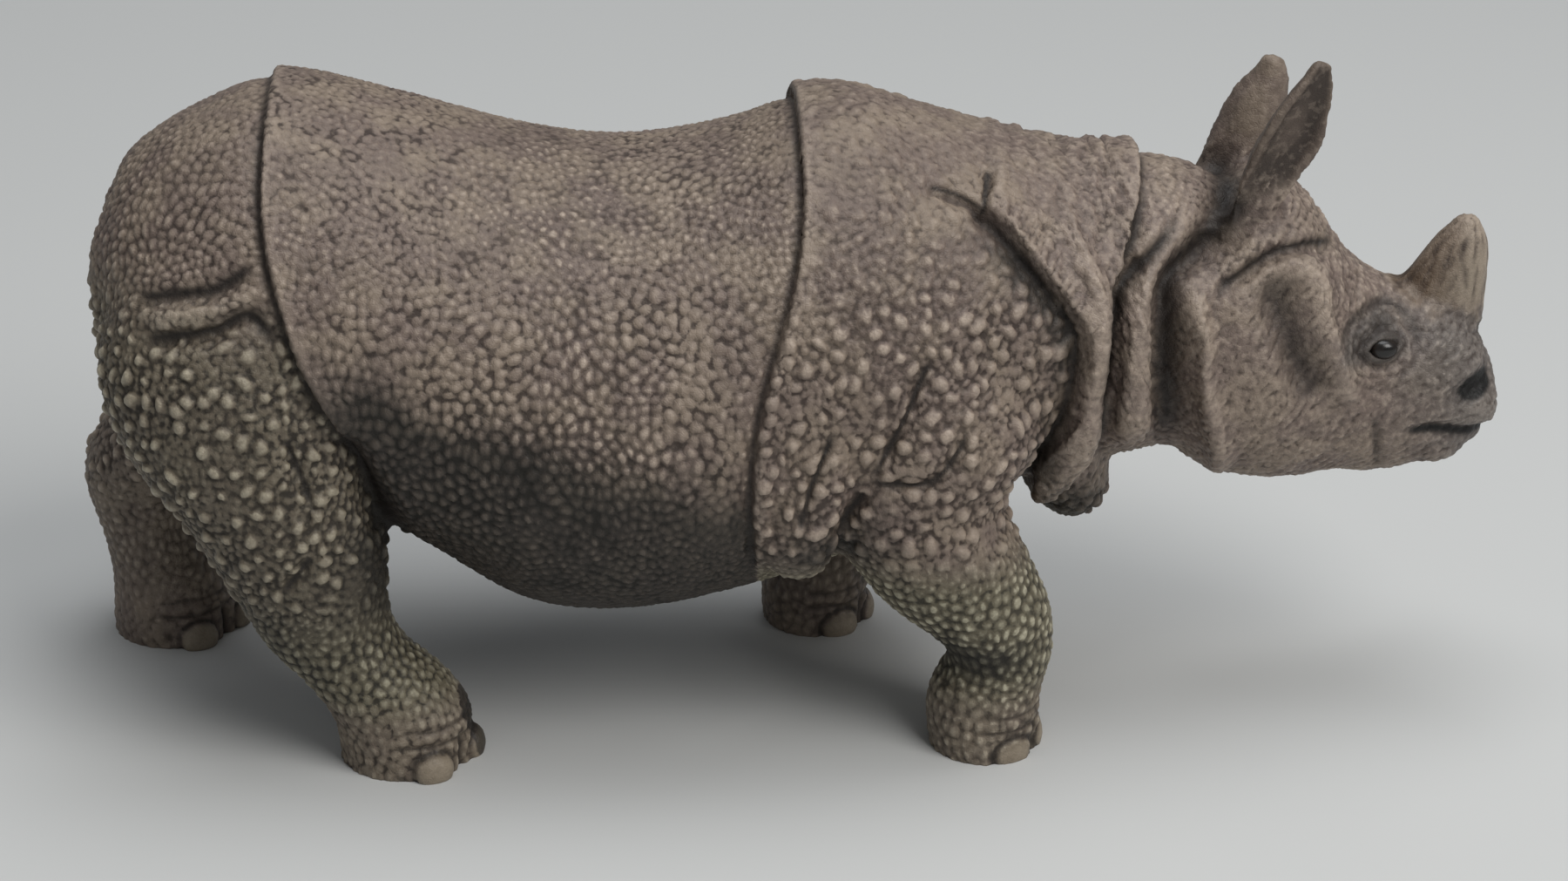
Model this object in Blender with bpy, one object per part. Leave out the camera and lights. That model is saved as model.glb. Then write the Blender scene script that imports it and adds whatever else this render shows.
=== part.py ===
"""Rhinoceros figurine: an Indian rhinoceros walking, moulded as one solid.

The head points along +X, the back is up along +Z and the soles stand flat on Z = 0.
The shapes are stated in parts, PARTS_IN_LENGTH of which make the figure's length, so one size drives them all.
The figure is worked in three stages: the heavy masses, then the crisp features on them, then the folds of the hide.
"""

import bmesh
import bpy
import numpy as np

# The driving size, in metres: from the hock that trails behind to the tip of the snout.
FIGURE_LENGTH = 0.152
PARTS_IN_LENGTH = 152.0
PART = FIGURE_LENGTH / PARTS_IN_LENGTH

# How finely each stage is worked, in parts, how often it is smoothed, and how many faces the solid keeps.
MASS_CELL = 0.75
MASS_SMOOTHING = 14
FEATURE_CELL = 0.6
FEATURE_SMOOTHING = 3
HIDE_CELL = 0.55
HIDE_SMOOTHING = 2
SOLID_TRIANGLES = 9600
RING_SIDES = 40

# The moulding plastic under its paint.
HIDE_COLOUR = (0.20, 0.155, 0.125, 1.0)
HIDE_ROUGHNESS = 0.62

# The trunk: along x, the height of the back, the height of the belly, half the width, and how pear-shaped it is.
TRUNK = [
    (-70.5, 57.0, 42.0, 9.0, 0.00),
    (-67.0, 61.8, 35.0, 14.5, 0.02),
    (-60.0, 66.2, 29.0, 19.5, 0.04),
    (-51.0, 69.2, 25.5, 22.3, 0.06),
    (-40.0, 66.8, 21.5, 24.0, 0.08),
    (-28.0, 63.4, 13.8, 25.2, 0.08),
    (-17.0, 61.9, 12.5, 25.8, 0.08),
    (-5.0, 63.9, 14.7, 25.2, 0.07),
    (4.0, 67.6, 17.5, 23.8, 0.06),
    (14.0, 65.2, 20.0, 21.5, 0.04),
    (24.0, 62.4, 25.5, 17.5, 0.02),
    (34.0, 61.0, 27.4, 14.0, 0.00),
    (44.0, 58.5, 28.4, 11.0, 0.00),
]
# The head, in the same columns, down to the upper lip.
HEAD = [
    (38.5, 52.0, 32.0, 8.5, 0.00),
    (42.0, 57.5, 27.2, 11.6, 0.06),
    (47.0, 59.2, 25.0, 12.6, 0.08),
    (51.5, 58.6, 24.2, 12.0, 0.06),
    (55.5, 54.2, 24.4, 10.6, 0.02),
    (58.5, 49.8, 25.0, 9.6, -0.02),
    (62.0, 47.0, 24.5, 8.8, -0.06),
    (66.0, 45.8, 25.0, 8.0, -0.06),
    (70.0, 44.4, 26.6, 7.4, -0.04),
    (73.0, 41.2, 27.9, 6.8, 0.00),
    (74.8, 37.5, 29.2, 5.2, 0.00),
]
# Each leg, from hip or shoulder to sole, in level slices: z, then the slice's middle x and y,
# and half its length fore and aft and half its width.
NEAR_HIND_LEG = [
    (54.0, -56.5, -9.5, 11.0, 10.0),
    (44.0, -56.0, -12.0, 14.4, 11.5),
    (35.0, -54.4, -14.0, 13.4, 10.4),
    (28.5, -52.0, -15.4, 10.8, 8.8),
    (23.5, -50.8, -15.8, 9.0, 7.6),
    (18.0, -49.5, -15.6, 7.5, 6.7),
    (13.5, -47.6, -15.2, 7.0, 6.3),
    (10.0, -44.3, -15.0, 7.2, 6.4),
    (6.0, -41.3, -14.9, 7.4, 6.8),
    (2.5, -40.6, -14.8, 7.1, 7.0),
    (-2.0, -40.6, -14.8, 6.9, 6.9),
]
FAR_HIND_LEG = [
    (54.0, -57.5, 9.5, 11.0, 10.0),
    (44.0, -58.0, 12.0, 13.6, 11.5),
    (35.0, -60.0, 14.0, 12.0, 10.4),
    (28.0, -62.4, 15.6, 9.9, 8.8),
    (22.5, -67.0, 16.4, 8.8, 7.6),
    (18.0, -69.4, 16.6, 7.0, 6.6),
    (13.0, -69.4, 16.6, 5.8, 6.0),
    (9.0, -68.4, 16.5, 5.9, 6.0),
    (5.0, -67.5, 16.5, 6.6, 6.6),
    (2.0, -67.3, 16.5, 7.0, 7.0),
    (-2.0, -67.3, 16.5, 6.9, 6.9),
]
NEAR_FORE_LEG = [
    (48.0, 9.5, -11.0, 11.0, 10.5),
    (38.0, 11.8, -13.0, 13.8, 10.6),
    (33.5, 12.1, -13.8, 13.1, 10.0),
    (29.0, 11.4, -14.4, 10.0, 9.2),
    (22.0, 14.9, -15.0, 9.4, 8.0),
    (17.0, 18.0, -15.0, 8.6, 7.0),
    (13.5, 20.6, -14.9, 6.6, 6.2),
    (10.5, 21.8, -14.8, 5.4, 5.7),
    (7.0, 20.4, -14.7, 5.9, 6.0),
    (3.5, 20.2, -14.6, 6.1, 6.3),
    (-2.0, 20.6, -14.6, 5.9, 6.2),
]
FAR_FORE_LEG = [
    (48.0, 8.0, 11.0, 11.0, 10.5),
    (38.0, 8.4, 13.0, 12.2, 10.6),
    (29.0, 8.4, 14.8, 10.6, 9.2),
    (22.0, 7.4, 15.6, 9.0, 8.0),
    (16.0, 6.4, 15.9, 7.2, 6.8),
    (11.0, 5.4, 15.9, 5.8, 6.0),
    (7.0, 4.7, 15.8, 5.9, 6.0),
    (3.5, 4.5, 15.8, 6.1, 6.3),
    (-2.0, 4.7, 15.8, 5.9, 6.2),
]
# Features in level slices like the legs: the horn, the bib of skin under the neck and the tail lie on the
# middle plane. The flap behind each elbow and the two hems of the neck rolls are built once for each side.
HORN = [
    (41.5, 68.2, 0.0, 5.7, 3.9),
    (44.5, 68.8, 0.0, 5.0, 3.5),
    (47.0, 69.7, 0.0, 4.2, 3.0),
    (49.3, 70.4, 0.0, 3.4, 2.5),
    (51.2, 70.9, 0.0, 2.5, 2.0),
    (52.4, 71.2, 0.0, 1.5, 1.4),
]
BIB = [
    (38.0, 28.0, 0.0, 6.5, 12.4),
    (32.0, 28.6, 0.0, 5.6, 11.2),
    (27.0, 29.4, 0.0, 5.0, 9.4),
    (23.6, 30.0, 0.0, 4.4, 7.6),
    (22.0, 30.2, 0.0, 3.2, 5.6),
]
TAIL = [
    (60.0, -63.5, 0.0, 3.0, 3.0),
    (56.0, -66.6, 0.0, 2.5, 2.6),
    (50.0, -69.2, 0.0, 2.2, 2.3),
    (42.0, -70.0, 0.0, 2.0, 2.0),
    (35.0, -69.4, 0.0, 1.8, 1.9),
    (32.5, -68.8, 0.0, 1.6, 1.6),
]
ELBOW_FLAP = [
    (46.0, 1.6, 18.0, 6.8, 5.6),
    (37.0, 0.8, 19.4, 5.8, 5.4),
    (30.0, 0.2, 19.6, 4.9, 4.9),
    (25.0, -0.2, 18.9, 3.8, 4.0),
    (22.6, 0.0, 18.3, 2.6, 2.8),
]
NAPE_HEM = [
    (45.0, 30.2, 10.6, 2.4, 3.8),
    (39.0, 30.0, 11.8, 2.8, 3.3),
    (34.0, 29.0, 12.0, 2.8, 2.7),
    (29.0, 27.2, 11.4, 2.2, 2.1),
    (26.6, 26.3, 10.8, 1.4, 1.5),
]
THROAT_HEM = [
    (47.0, 34.8, 10.4, 2.6, 3.8),
    (41.0, 35.0, 11.2, 2.8, 3.5),
    (36.0, 34.9, 10.8, 2.7, 3.0),
    (33.2, 34.5, 9.9, 1.7, 2.0),
]
# The chin is a rounded lump: its middle (x, y, z) and its half sizes.
CHIN = (68.6, 0.0, 28.7, 4.6, 5.5, 2.9)
# The ears stand on the nape: along each one x, y and z, its width, how far it cups and how thick it is,
# and then which way the hollow side looks.
NEAR_EAR = [
    (44.8, -6.4, 53.0, 5.6, 1.0, 4.8),
    (47.8, -6.9, 59.9, 6.2, 1.6, 3.6),
    (49.9, -7.3, 64.2, 7.2, 2.2, 2.8),
    (51.1, -7.5, 67.2, 6.2, 1.8, 2.5),
    (52.2, -7.6, 69.8, 4.3, 1.0, 2.3),
    (52.9, -7.6, 72.1, 2.3, 0.3, 2.0),
]
FAR_EAR = [
    (45.0, 5.0, 52.6, 8.2, 0.6, 6.2),
    (46.6, 5.5, 57.4, 7.4, 1.2, 4.4),
    (48.2, 5.9, 61.0, 7.0, 1.8, 3.0),
    (49.5, 6.0, 64.1, 6.2, 1.6, 2.5),
    (50.5, 6.1, 66.5, 4.4, 1.0, 2.3),
    (50.8, 6.1, 68.5, 2.6, 0.3, 2.0),
]
NEAR_EAR_LOOKS = (0.35, -0.93, 0.10)
FAR_EAR_LOOKS = (0.35, 0.93, 0.10)
# The feet: the middle of each sole, how far out its toes stand, and where they point, in degrees from forward.
SOLES = {
    "near hind": (-40.6, -14.8, 5.2),
    "far hind": (-67.3, 16.5, 5.2),
    "near fore": (20.5, -14.6, 3.1),
    "far fore": (4.6, 15.8, 3.7),
}
TOE_DIRECTIONS = (-64.0, 0.0, 64.0)
TOE_SIZE = (3.5, 3.2, 5.0)
NAIL_SIZE = (1.2, 2.2, 1.9)
NAIL_HEIGHT = 0.9

# The folds of the hide, drawn in side view and the same on both flanks: how the fold is shaped, how far it
# stands out or cuts in, how wide it spreads, the least |y| where it acts, and its line in (x, z).
# A lap stands proud on the left of its line and is undercut on the right; a crease cuts in; a ridge stands out.
FOLDS = [
    ("lap", 1.15, 2.6, 0.0, [(-52.4, 74), (-52.9, 66), (-53.0, 62), (-52.4, 57), (-51.0, 52), (-49.4, 47),
                             (-46.6, 41.5), (-44.0, 36), (-41.8, 30), (-40, 24)]),
    ("lap", 1.05, 2.4, 0.0, [(0.7, 73), (0.4, 65), (0.3, 60), (-0.8, 54), (-2.6, 48), (-4.2, 42), (-5.0, 35),
                             (-4.6, 27), (-4.0, 20)]),
    ("lap", 1.7, 2.4, 3.0, [(17.0, 60.0), (18.6, 58.7), (20.3, 57.4), (22.4, 55.0), (24.5, 52.5), (26.7, 49.6),
                            (28.4, 46.4), (28.2, 42), (27.4, 37), (25.6, 32), (25.0, 26)]),
    ("lap", 1.3, 2.6, 0.0, [(30.9, 31), (31.3, 42), (31.6, 49.5), (33.4, 54), (35.0, 58), (36.2, 62), (36.4, 68)]),
    ("crease", 2.0, 1.0, 0.0, [(39.5, 56.5), (36.2, 53.4), (33.6, 51.2), (32.4, 48.4), (31.8, 44), (31.5, 38),
                               (31.6, 30)]),
    ("crease", 3.0, 1.9, 0.0, [(46.0, 60.5), (44.6, 56.2), (41.6, 53.0), (38.6, 51.0), (38.0, 47.6), (38.3, 42),
                               (38.9, 36), (39.6, 30)]),
    ("ridge", 1.3, 1.7, 4.0, [(26.4, 58.5), (29.0, 53.0), (30.0, 47.0), (29.8, 41.0), (29.2, 35.0), (28.8, 31.0)]),
    ("ridge", 1.3, 2.0, 4.0, [(41.0, 56.4), (37.0, 53.6), (35.0, 49.4), (34.6, 43.0), (34.8, 36.0), (35.0, 32.5)]),
    ("ridge", 1.7, 1.3, 3.0, [(40.0, 50.4), (40.8, 46.8), (41.9, 43.6), (42.2, 40.0), (43.6, 35.4), (45.0, 29.6),
                              (45.2, 26.0)]),
    ("crease", 1.5, 2.1, 4.0, [(48.4, 51.0), (49.6, 47.2), (51.0, 43.7), (52.6, 40.2), (54.4, 36.8)]),
    ("ridge", 1.7, 1.5, 4.0, [(48.6, 52.0), (52.0, 51.0), (53.6, 48.6), (54.0, 45.6), (55.2, 42.6), (57.0, 38.8),
                              (58.8, 35.4)]),
    ("crease", 1.3, 0.8, 3.0, [(42.6, 48.8), (46.0, 50.9), (49.0, 52.6), (52.6, 52.8), (57.0, 51.6)]),
    ("crease", 1.0, 0.9, 10.0, [(-66.0, 52.0), (-60.3, 53.3), (-57.4, 53.9), (-53.6, 56.2)]),
    ("crease", 1.0, 0.9, 10.0, [(-65.0, 48.6), (-61.6, 49.4), (-57.4, 50.4), (-54.3, 51.7), (-51.6, 49.0)]),
    ("ridge", 0.6, 1.1, 10.0, [(-65.0, 50.4), (-61.0, 51.3), (-57.0, 52.2), (-53.5, 53.6)]),
    ("crease", 1.8, 1.4, 12.0, [(-46.0, 40.4), (-44.4, 37.4), (-42.9, 33.4), (-41.6, 29.0), (-41.0, 24.0)]),
    ("crease", 0.8, 0.7, 14.0, [(-51.2, 40.1), (-48.7, 32.4)]),
    ("crease", 0.8, 0.7, 12.0, [(-52.0, 22.6), (-49.0, 26.9)]),
    ("crease", 0.9, 0.7, 12.0, [(12.7, 46.6), (10.6, 41.6), (7.0, 34.2)]),
    ("crease", 0.9, 0.7, 12.0, [(7.0, 33.8), (13.1, 34.1), (16.7, 38.9)]),
    ("crease", 0.8, 0.7, 12.0, [(3.1, 40.2), (0.9, 34.4), (-0.4, 29.1)]),
    ("crease", 0.8, 0.7, 12.0, [(6.5, 33.0), (3.6, 27.4)]),
    ("crease", 1.0, 0.5, 4.0, [(12.8, 61.2), (15.8, 60.2), (18.6, 58.8)]),
    ("crease", 1.1, 0.55, 4.0, [(18.2, 58.0), (19.5, 61.6)]),
    ("crease", 1.2, 0.8, 0.0, [(64.8, 31.7), (68.1, 31.5), (70.7, 30.9), (73.6, 30.4), (80.0, 30.4)]),
    ("crease", 0.5, 0.8, 3.0, [(56.0, 42.6), (57.9, 44.3), (60.6, 45.3), (63.0, 44.9), (64.8, 43.6), (66.0, 41.0)]),
    ("crease", 0.2, 0.8, 3.0, [(57.4, 39.2), (59.8, 37.5), (61.8, 37.2), (63.6, 38.0), (64.8, 39.4)]),
    ("crease", 0.4, 0.7, 3.0, [(61.0, 34.2), (61.7, 30.8), (62.8, 26.4)]),
]
# Round hollows and swellings drawn in side view: x, z, the two half sizes, the slope in degrees, and the depth.
SPOTS = [
    (61.4, 41.6, 3.6, 2.8, 0.0, -0.7),
    (61.4, 41.6, 1.5, 1.2, 0.0, 1.0),
    (72.6, 36.2, 2.7, 1.5, 18.0, -1.7),
]
# The parting between the buttocks, where the tail lies: how deep, half how wide, and where it begins and ends in z.
PARTING_DEPTH = 3.0
PARTING_WIDTH = 3.4
PARTING_SPAN = (30.0, 58.0)


def clear_scene():
    for old in list(bpy.data.objects):
        bpy.data.objects.remove(old)


def smooth_curve(rows, count):
    """Rows resampled at count even steps along the table, by a Catmull-Rom curve through them."""
    table = np.array(rows, float)
    padded = np.vstack([2 * table[0] - table[1], table, 2 * table[-1] - table[-2]])
    steps = np.linspace(0, len(table) - 1 - 1e-9, count)
    cell = steps.astype(int)
    t = (steps - cell)[:, None]
    a, b, c, d = (padded[cell + k] for k in range(4))
    return 0.5 * (
        2 * b + (c - a) * t + (2 * a - 5 * b + 4 * c - d) * t**2 + (3 * b - 3 * c + d - a) * t**3
    )


def smooth_step(value, low, high):
    """0 below low, 1 above high, and an even S-shaped rise between them."""
    t = np.clip((value - low) / (high - low), 0.0, 1.0)
    return t * t * (3 - 2 * t)


def mesh_of_rings(name, rings):
    """A closed mesh over rows of ring points, in parts, with a fan at each end."""
    rings = np.asarray(rings)
    rows, sides = rings.shape[:2]
    tips = [rings[0].mean(axis=0), rings[-1].mean(axis=0)]
    points = np.vstack([rings.reshape(-1, 3), tips]) * PART
    here = np.arange(sides)
    after = (here + 1) % sides
    faces = []
    for row in range(rows - 1):
        low, high = row * sides, (row + 1) * sides
        faces += np.stack([low + here, low + after, high + after, high + here], axis=1).tolist()
    first, last = rows * sides, rows * sides + 1
    faces += np.stack([np.full(sides, first), after, here], axis=1).tolist()
    end = (rows - 1) * sides
    faces += np.stack([np.full(sides, last), end + here, end + after], axis=1).tolist()
    mesh = bpy.data.meshes.new(name)
    mesh.from_pydata(points.tolist(), [], faces)
    work = bmesh.new()
    work.from_mesh(mesh)
    bmesh.ops.recalc_face_normals(work, faces=work.faces)
    work.to_mesh(mesh)
    work.free()
    obj = bpy.data.objects.new(name, mesh)
    bpy.context.scene.collection.objects.link(obj)
    return obj


def dome_ends(rings, cap):
    """The rings with domed ends: each end ring again, shrinking and moving out over cap parts."""
    rings = [np.asarray(r) for r in rings]
    steps = np.linspace(0, np.pi / 2, 6)[1:]
    for end, inner in ((0, 1), (-1, -2)):
        ring = rings[end]
        centre = ring.mean(axis=0)
        out = centre - rings[inner].mean(axis=0)
        out = out / np.linalg.norm(out)
        extra = [centre + (ring - centre) * max(np.cos(s), 0.02) + out * cap * np.sin(s) for s in steps]
        rings = extra[::-1] + rings if end == 0 else rings + extra
    return rings


def body_of(name, rows, count, cap):
    """A mass lying along x, from rows of (x, top, bottom, half width, pear)."""
    angle = np.linspace(0, 2 * np.pi, RING_SIDES, endpoint=False)
    up, side = np.cos(angle), np.sin(angle)
    rings = []
    for x, top, bottom, width, pear in smooth_curve(rows, count):
        middle, half = (top + bottom) / 2, (top - bottom) / 2
        y = width * side * (1 - pear * up)
        rings.append(np.stack([np.full_like(up, x), y, middle + half * up], axis=1))
    return mesh_of_rings(name, dome_ends(rings, cap))


def column_of(name, rows, cap, side=1.0):
    """A mass standing along z, from level slices of (z, x, y, half length, half width)."""
    angle = np.linspace(0, 2 * np.pi, RING_SIDES, endpoint=False)
    rings = [
        np.stack([x + long * np.cos(angle), side * y + wide * np.sin(angle), np.full_like(angle, z)], axis=1)
        for z, x, y, long, wide in smooth_curve(rows, 40)
    ]
    return mesh_of_rings(name, dome_ends(rings, cap))


def lump(name, middle, half_sizes, turn=0.0):
    """An ellipsoid with its first axis turned by an angle about z."""
    polar = np.linspace(0.04, np.pi - 0.04, 14)
    angle = np.linspace(0, 2 * np.pi, 24, endpoint=False)
    a, b, c = half_sizes
    rings = []
    for p in polar:
        x, y = a * np.sin(p) * np.cos(angle), b * np.sin(p) * np.sin(angle)
        ring = np.stack(
            [x * np.cos(turn) - y * np.sin(turn), x * np.sin(turn) + y * np.cos(turn), np.full_like(x, c * np.cos(p))],
            axis=1,
        )
        rings.append(ring + middle)
    return mesh_of_rings(name, rings)


def ear(name, rows, looks):
    """A cupped leaf along a path: each cross-section is a flat oval bent forward at its two edges."""
    table = smooth_curve(rows, 30)
    line = table[:, :3]
    tangent = np.gradient(line, axis=0)
    tangent /= np.linalg.norm(tangent, axis=1)[:, None]
    front = np.array(looks) / np.linalg.norm(looks)
    angle = np.linspace(0, 2 * np.pi, 28, endpoint=False)
    rings = []
    for point, t, (width, cup, thick) in zip(line, tangent, table[:, 3:]):
        forward = front - t * (front @ t)
        forward /= np.linalg.norm(forward)
        across = np.cross(t, forward)
        out = thick / 2 * np.sin(angle) + cup * (np.cos(angle) ** 2 - 0.5)
        rings.append(point + np.outer(width / 2 * np.cos(angle), across) + np.outer(out, forward))
    return mesh_of_rings(name, dome_ends(rings, 0.6))


def feet():
    """The toes and nails around the front of every sole."""
    pieces = []
    for name, (x, y, reach) in SOLES.items():
        for degrees in TOE_DIRECTIONS:
            turn = np.radians(degrees)
            ahead = np.array([np.cos(turn), np.sin(turn), 0.0])
            toe = np.array([x, y, 0.4]) + ahead * (reach - 0.9)
            pieces.append(lump(f"{name} toe", toe, TOE_SIZE, turn))
            nail = np.array([x, y, NAIL_HEIGHT]) + ahead * (reach + 1.9)
            pieces.append(lump(f"{name} nail", nail, NAIL_SIZE, turn))
    return pieces


def evaluated_mesh(obj):
    graph = bpy.context.evaluated_depsgraph_get()
    return bpy.data.meshes.new_from_object(obj.evaluated_get(graph))


def joined(name, members, cell, smoothing):
    """One closed skin around all the members: a voxel remesh of them, then smoothing that rounds the joins."""
    work = bmesh.new()
    for member in members:
        work.from_mesh(member.data)
        bpy.data.objects.remove(member)
    mesh = bpy.data.meshes.new(name)
    work.to_mesh(mesh)
    work.free()
    obj = bpy.data.objects.new(name, mesh)
    bpy.context.scene.collection.objects.link(obj)
    remesh = obj.modifiers.new("one skin", "REMESH")
    remesh.mode = "VOXEL"
    remesh.voxel_size = cell * PART
    smooth = obj.modifiers.new("rounded joins", "SMOOTH")
    smooth.factor = 0.5
    smooth.iterations = smoothing
    bpy.context.view_layer.update()
    obj.data = evaluated_mesh(obj)
    obj.modifiers.clear()
    return obj


def places_and_normals(obj):
    """The vertices of a mesh in parts, and their outward normals."""
    count = len(obj.data.vertices)
    places = np.empty(count * 3)
    obj.data.vertices.foreach_get("co", places)
    normals = np.empty(count * 3)
    obj.data.vertices.foreach_get("normal", normals)
    return places.reshape(-1, 3) / PART, normals.reshape(-1, 3)


def move_vertices(obj, places):
    obj.data.vertices.foreach_set("co", (places * PART).ravel())
    obj.data.update()


def from_line(places, line):
    """For each place, in side view: the distance to a line, which side it is on, and how far along it lies."""
    points = smooth_curve(line, 6 * len(line))
    start, step = points[:-1], np.diff(points, axis=0)
    flat = places[:, [0, 2]]
    nearest = np.full(len(flat), np.inf)
    signed = np.zeros(len(flat))
    along = np.zeros(len(flat))
    for index, (origin, run) in enumerate(zip(start, step)):
        offset = flat - origin
        t = np.clip(offset @ run / (run @ run), 0.0, 1.0)
        gap = offset - t[:, None] * run
        distance = np.hypot(gap[:, 0], gap[:, 1])
        closer = distance < nearest
        nearest[closer] = distance[closer]
        side = run[0] * offset[closer, 1] - run[1] * offset[closer, 0]
        signed[closer] = np.sign(side) * distance[closer]
        along[closer] = (index + t[closer]) / len(start)
    return nearest, signed, along


def fold_height(places, kind, height, width, inner, line):
    """How far each place moves out or in for one fold of the hide."""
    xs, zs = np.array(line).T
    reach = 4 * width
    near = (
        (places[:, 0] > xs.min() - reach) & (places[:, 0] < xs.max() + reach)
        & (places[:, 2] > zs.min() - reach) & (places[:, 2] < zs.max() + reach)
    )
    result = np.zeros(len(places))
    distance, signed, along = from_line(places[near], line)
    if kind == "lap":
        proud = height * np.exp(-np.abs(signed) / width)
        under = -0.9 * height * np.exp(-np.abs(signed) / (0.45 * width))
        rise = under + (proud - under) * smooth_step(signed, -0.35, 0.35)
        ends = smooth_step(along, 0.0, 0.12) * smooth_step(1 - along, 0.0, 0.12)
        rise = rise * ends
    else:
        bell = height * np.exp(-((distance / width) ** 2)) * smooth_step(0.5 - np.abs(along - 0.5), -0.08, 0.25)
        rise = -bell if kind == "crease" else bell
    if inner > 0:
        rise = rise * smooth_step(np.abs(places[near, 1]), inner - 2.0, inner)
    result[near] = rise
    return result


def spot_height(places, x, z, long, high, slope, depth):
    turn = np.radians(slope)
    across, up = places[:, 0] - x, places[:, 2] - z
    u = (across * np.cos(turn) + up * np.sin(turn)) / long
    v = (up * np.cos(turn) - across * np.sin(turn)) / high
    return depth * np.exp(-(u * u + v * v)) * smooth_step(np.abs(places[:, 1]), 2.0, 4.0)


def part_buttocks(obj):
    """A soft groove down the middle of the rear."""
    places, normals = places_and_normals(obj)
    low, high = PARTING_SPAN
    rear = smooth_step(-places[:, 0], 62.0, 68.0)
    span = smooth_step(places[:, 2], low - 4, low + 4) * smooth_step(-places[:, 2], -high - 3, -high + 5)
    groove = PARTING_DEPTH * np.exp(-((places[:, 1] / PARTING_WIDTH) ** 2)) * rear * span
    move_vertices(obj, places - normals * groove[:, None])


def fold_hide(obj):
    """The armour plates, neck rolls and wrinkles, and the sockets of eye and nostril."""
    places, normals = places_and_normals(obj)
    height = np.zeros(len(places))
    for fold in FOLDS:
        height += fold_height(places, *fold)
    for spot in SPOTS:
        height += spot_height(places, *spot)
    move_vertices(obj, places + normals * height[:, None])


def stand_flat(obj):
    """The figure cut off level at the soles and closed there."""
    work = bmesh.new()
    work.from_mesh(obj.data)
    everything = work.verts[:] + work.edges[:] + work.faces[:]
    cut = bmesh.ops.bisect_plane(
        work, geom=everything, dist=1e-7, plane_co=(0, 0, 0), plane_no=(0, 0, -1), clear_outer=True
    )
    rim = [item for item in cut["geom_cut"] if isinstance(item, bmesh.types.BMEdge)]
    bmesh.ops.holes_fill(work, edges=rim, sides=0)
    bmesh.ops.triangulate(work, faces=work.faces)
    bmesh.ops.recalc_face_normals(work, faces=work.faces)
    work.to_mesh(obj.data)
    work.free()


def settle(obj):
    """The figure moved level until the middle of its box is over the origin."""
    places, _ = places_and_normals(obj)
    middle = (places.min(axis=0) + places.max(axis=0)) / 2
    move_vertices(obj, places - [middle[0], middle[1], 0.0])


def thinned(obj, triangles):
    """The same shape in fewer faces, keeping most of them where it curves most."""
    thin = obj.modifiers.new("fewer faces", "DECIMATE")
    thin.ratio = triangles / sum(len(face.vertices) - 2 for face in obj.data.polygons)
    bpy.context.view_layer.update()
    obj.data = evaluated_mesh(obj)
    obj.modifiers.clear()


def hide_material():
    material = bpy.data.materials.new("painted moulding plastic")
    material.use_nodes = True
    surface = material.node_tree.nodes["Principled BSDF"]
    surface.inputs["Base Color"].default_value = HIDE_COLOUR
    surface.inputs["Roughness"].default_value = HIDE_ROUGHNESS
    surface.inputs["Metallic"].default_value = 0.0
    return material


def main():
    clear_scene()
    masses = [
        body_of("trunk", TRUNK, 60, 1.5),
        body_of("head", HEAD, 40, 1.2),
        column_of("near hind leg", NEAR_HIND_LEG, 1.0),
        column_of("far hind leg", FAR_HIND_LEG, 1.0),
        column_of("near fore leg", NEAR_FORE_LEG, 1.0),
        column_of("far fore leg", FAR_FORE_LEG, 1.0),
    ]
    figure = joined("masses", masses, MASS_CELL, MASS_SMOOTHING)
    part_buttocks(figure)
    features = [
        column_of("horn", HORN, 1.0),
        column_of("bib", BIB, 1.4),
        column_of("tail", TAIL, 1.0),
        *[
            column_of(name, rows, 1.0, side)
            for name, rows in (("elbow flap", ELBOW_FLAP), ("nape hem", NAPE_HEM), ("throat hem", THROAT_HEM))
            for side in (-1.0, 1.0)
        ],
        lump("chin", np.array(CHIN[:3]), CHIN[3:]),
        ear("near ear", NEAR_EAR, NEAR_EAR_LOOKS),
        ear("far ear", FAR_EAR, FAR_EAR_LOOKS),
        *feet(),
    ]
    figure = joined("features", [figure, *features], FEATURE_CELL, FEATURE_SMOOTHING)
    fold_hide(figure)
    figure = joined("rhinoceros", [figure], HIDE_CELL, HIDE_SMOOTHING)
    thinned(figure, SOLID_TRIANGLES)
    stand_flat(figure)
    settle(figure)
    figure.name = "rhinoceros"
    figure.data.materials.clear()
    figure.data.materials.append(hide_material())


main()
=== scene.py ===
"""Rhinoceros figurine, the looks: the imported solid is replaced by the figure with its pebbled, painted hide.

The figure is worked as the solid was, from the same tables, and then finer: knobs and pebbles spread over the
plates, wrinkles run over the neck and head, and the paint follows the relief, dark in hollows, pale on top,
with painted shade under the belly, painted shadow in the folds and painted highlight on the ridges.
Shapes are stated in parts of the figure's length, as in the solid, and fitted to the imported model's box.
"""

import itertools

import bmesh
import bpy
import numpy as np
from mathutils import Matrix, Vector


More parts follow.
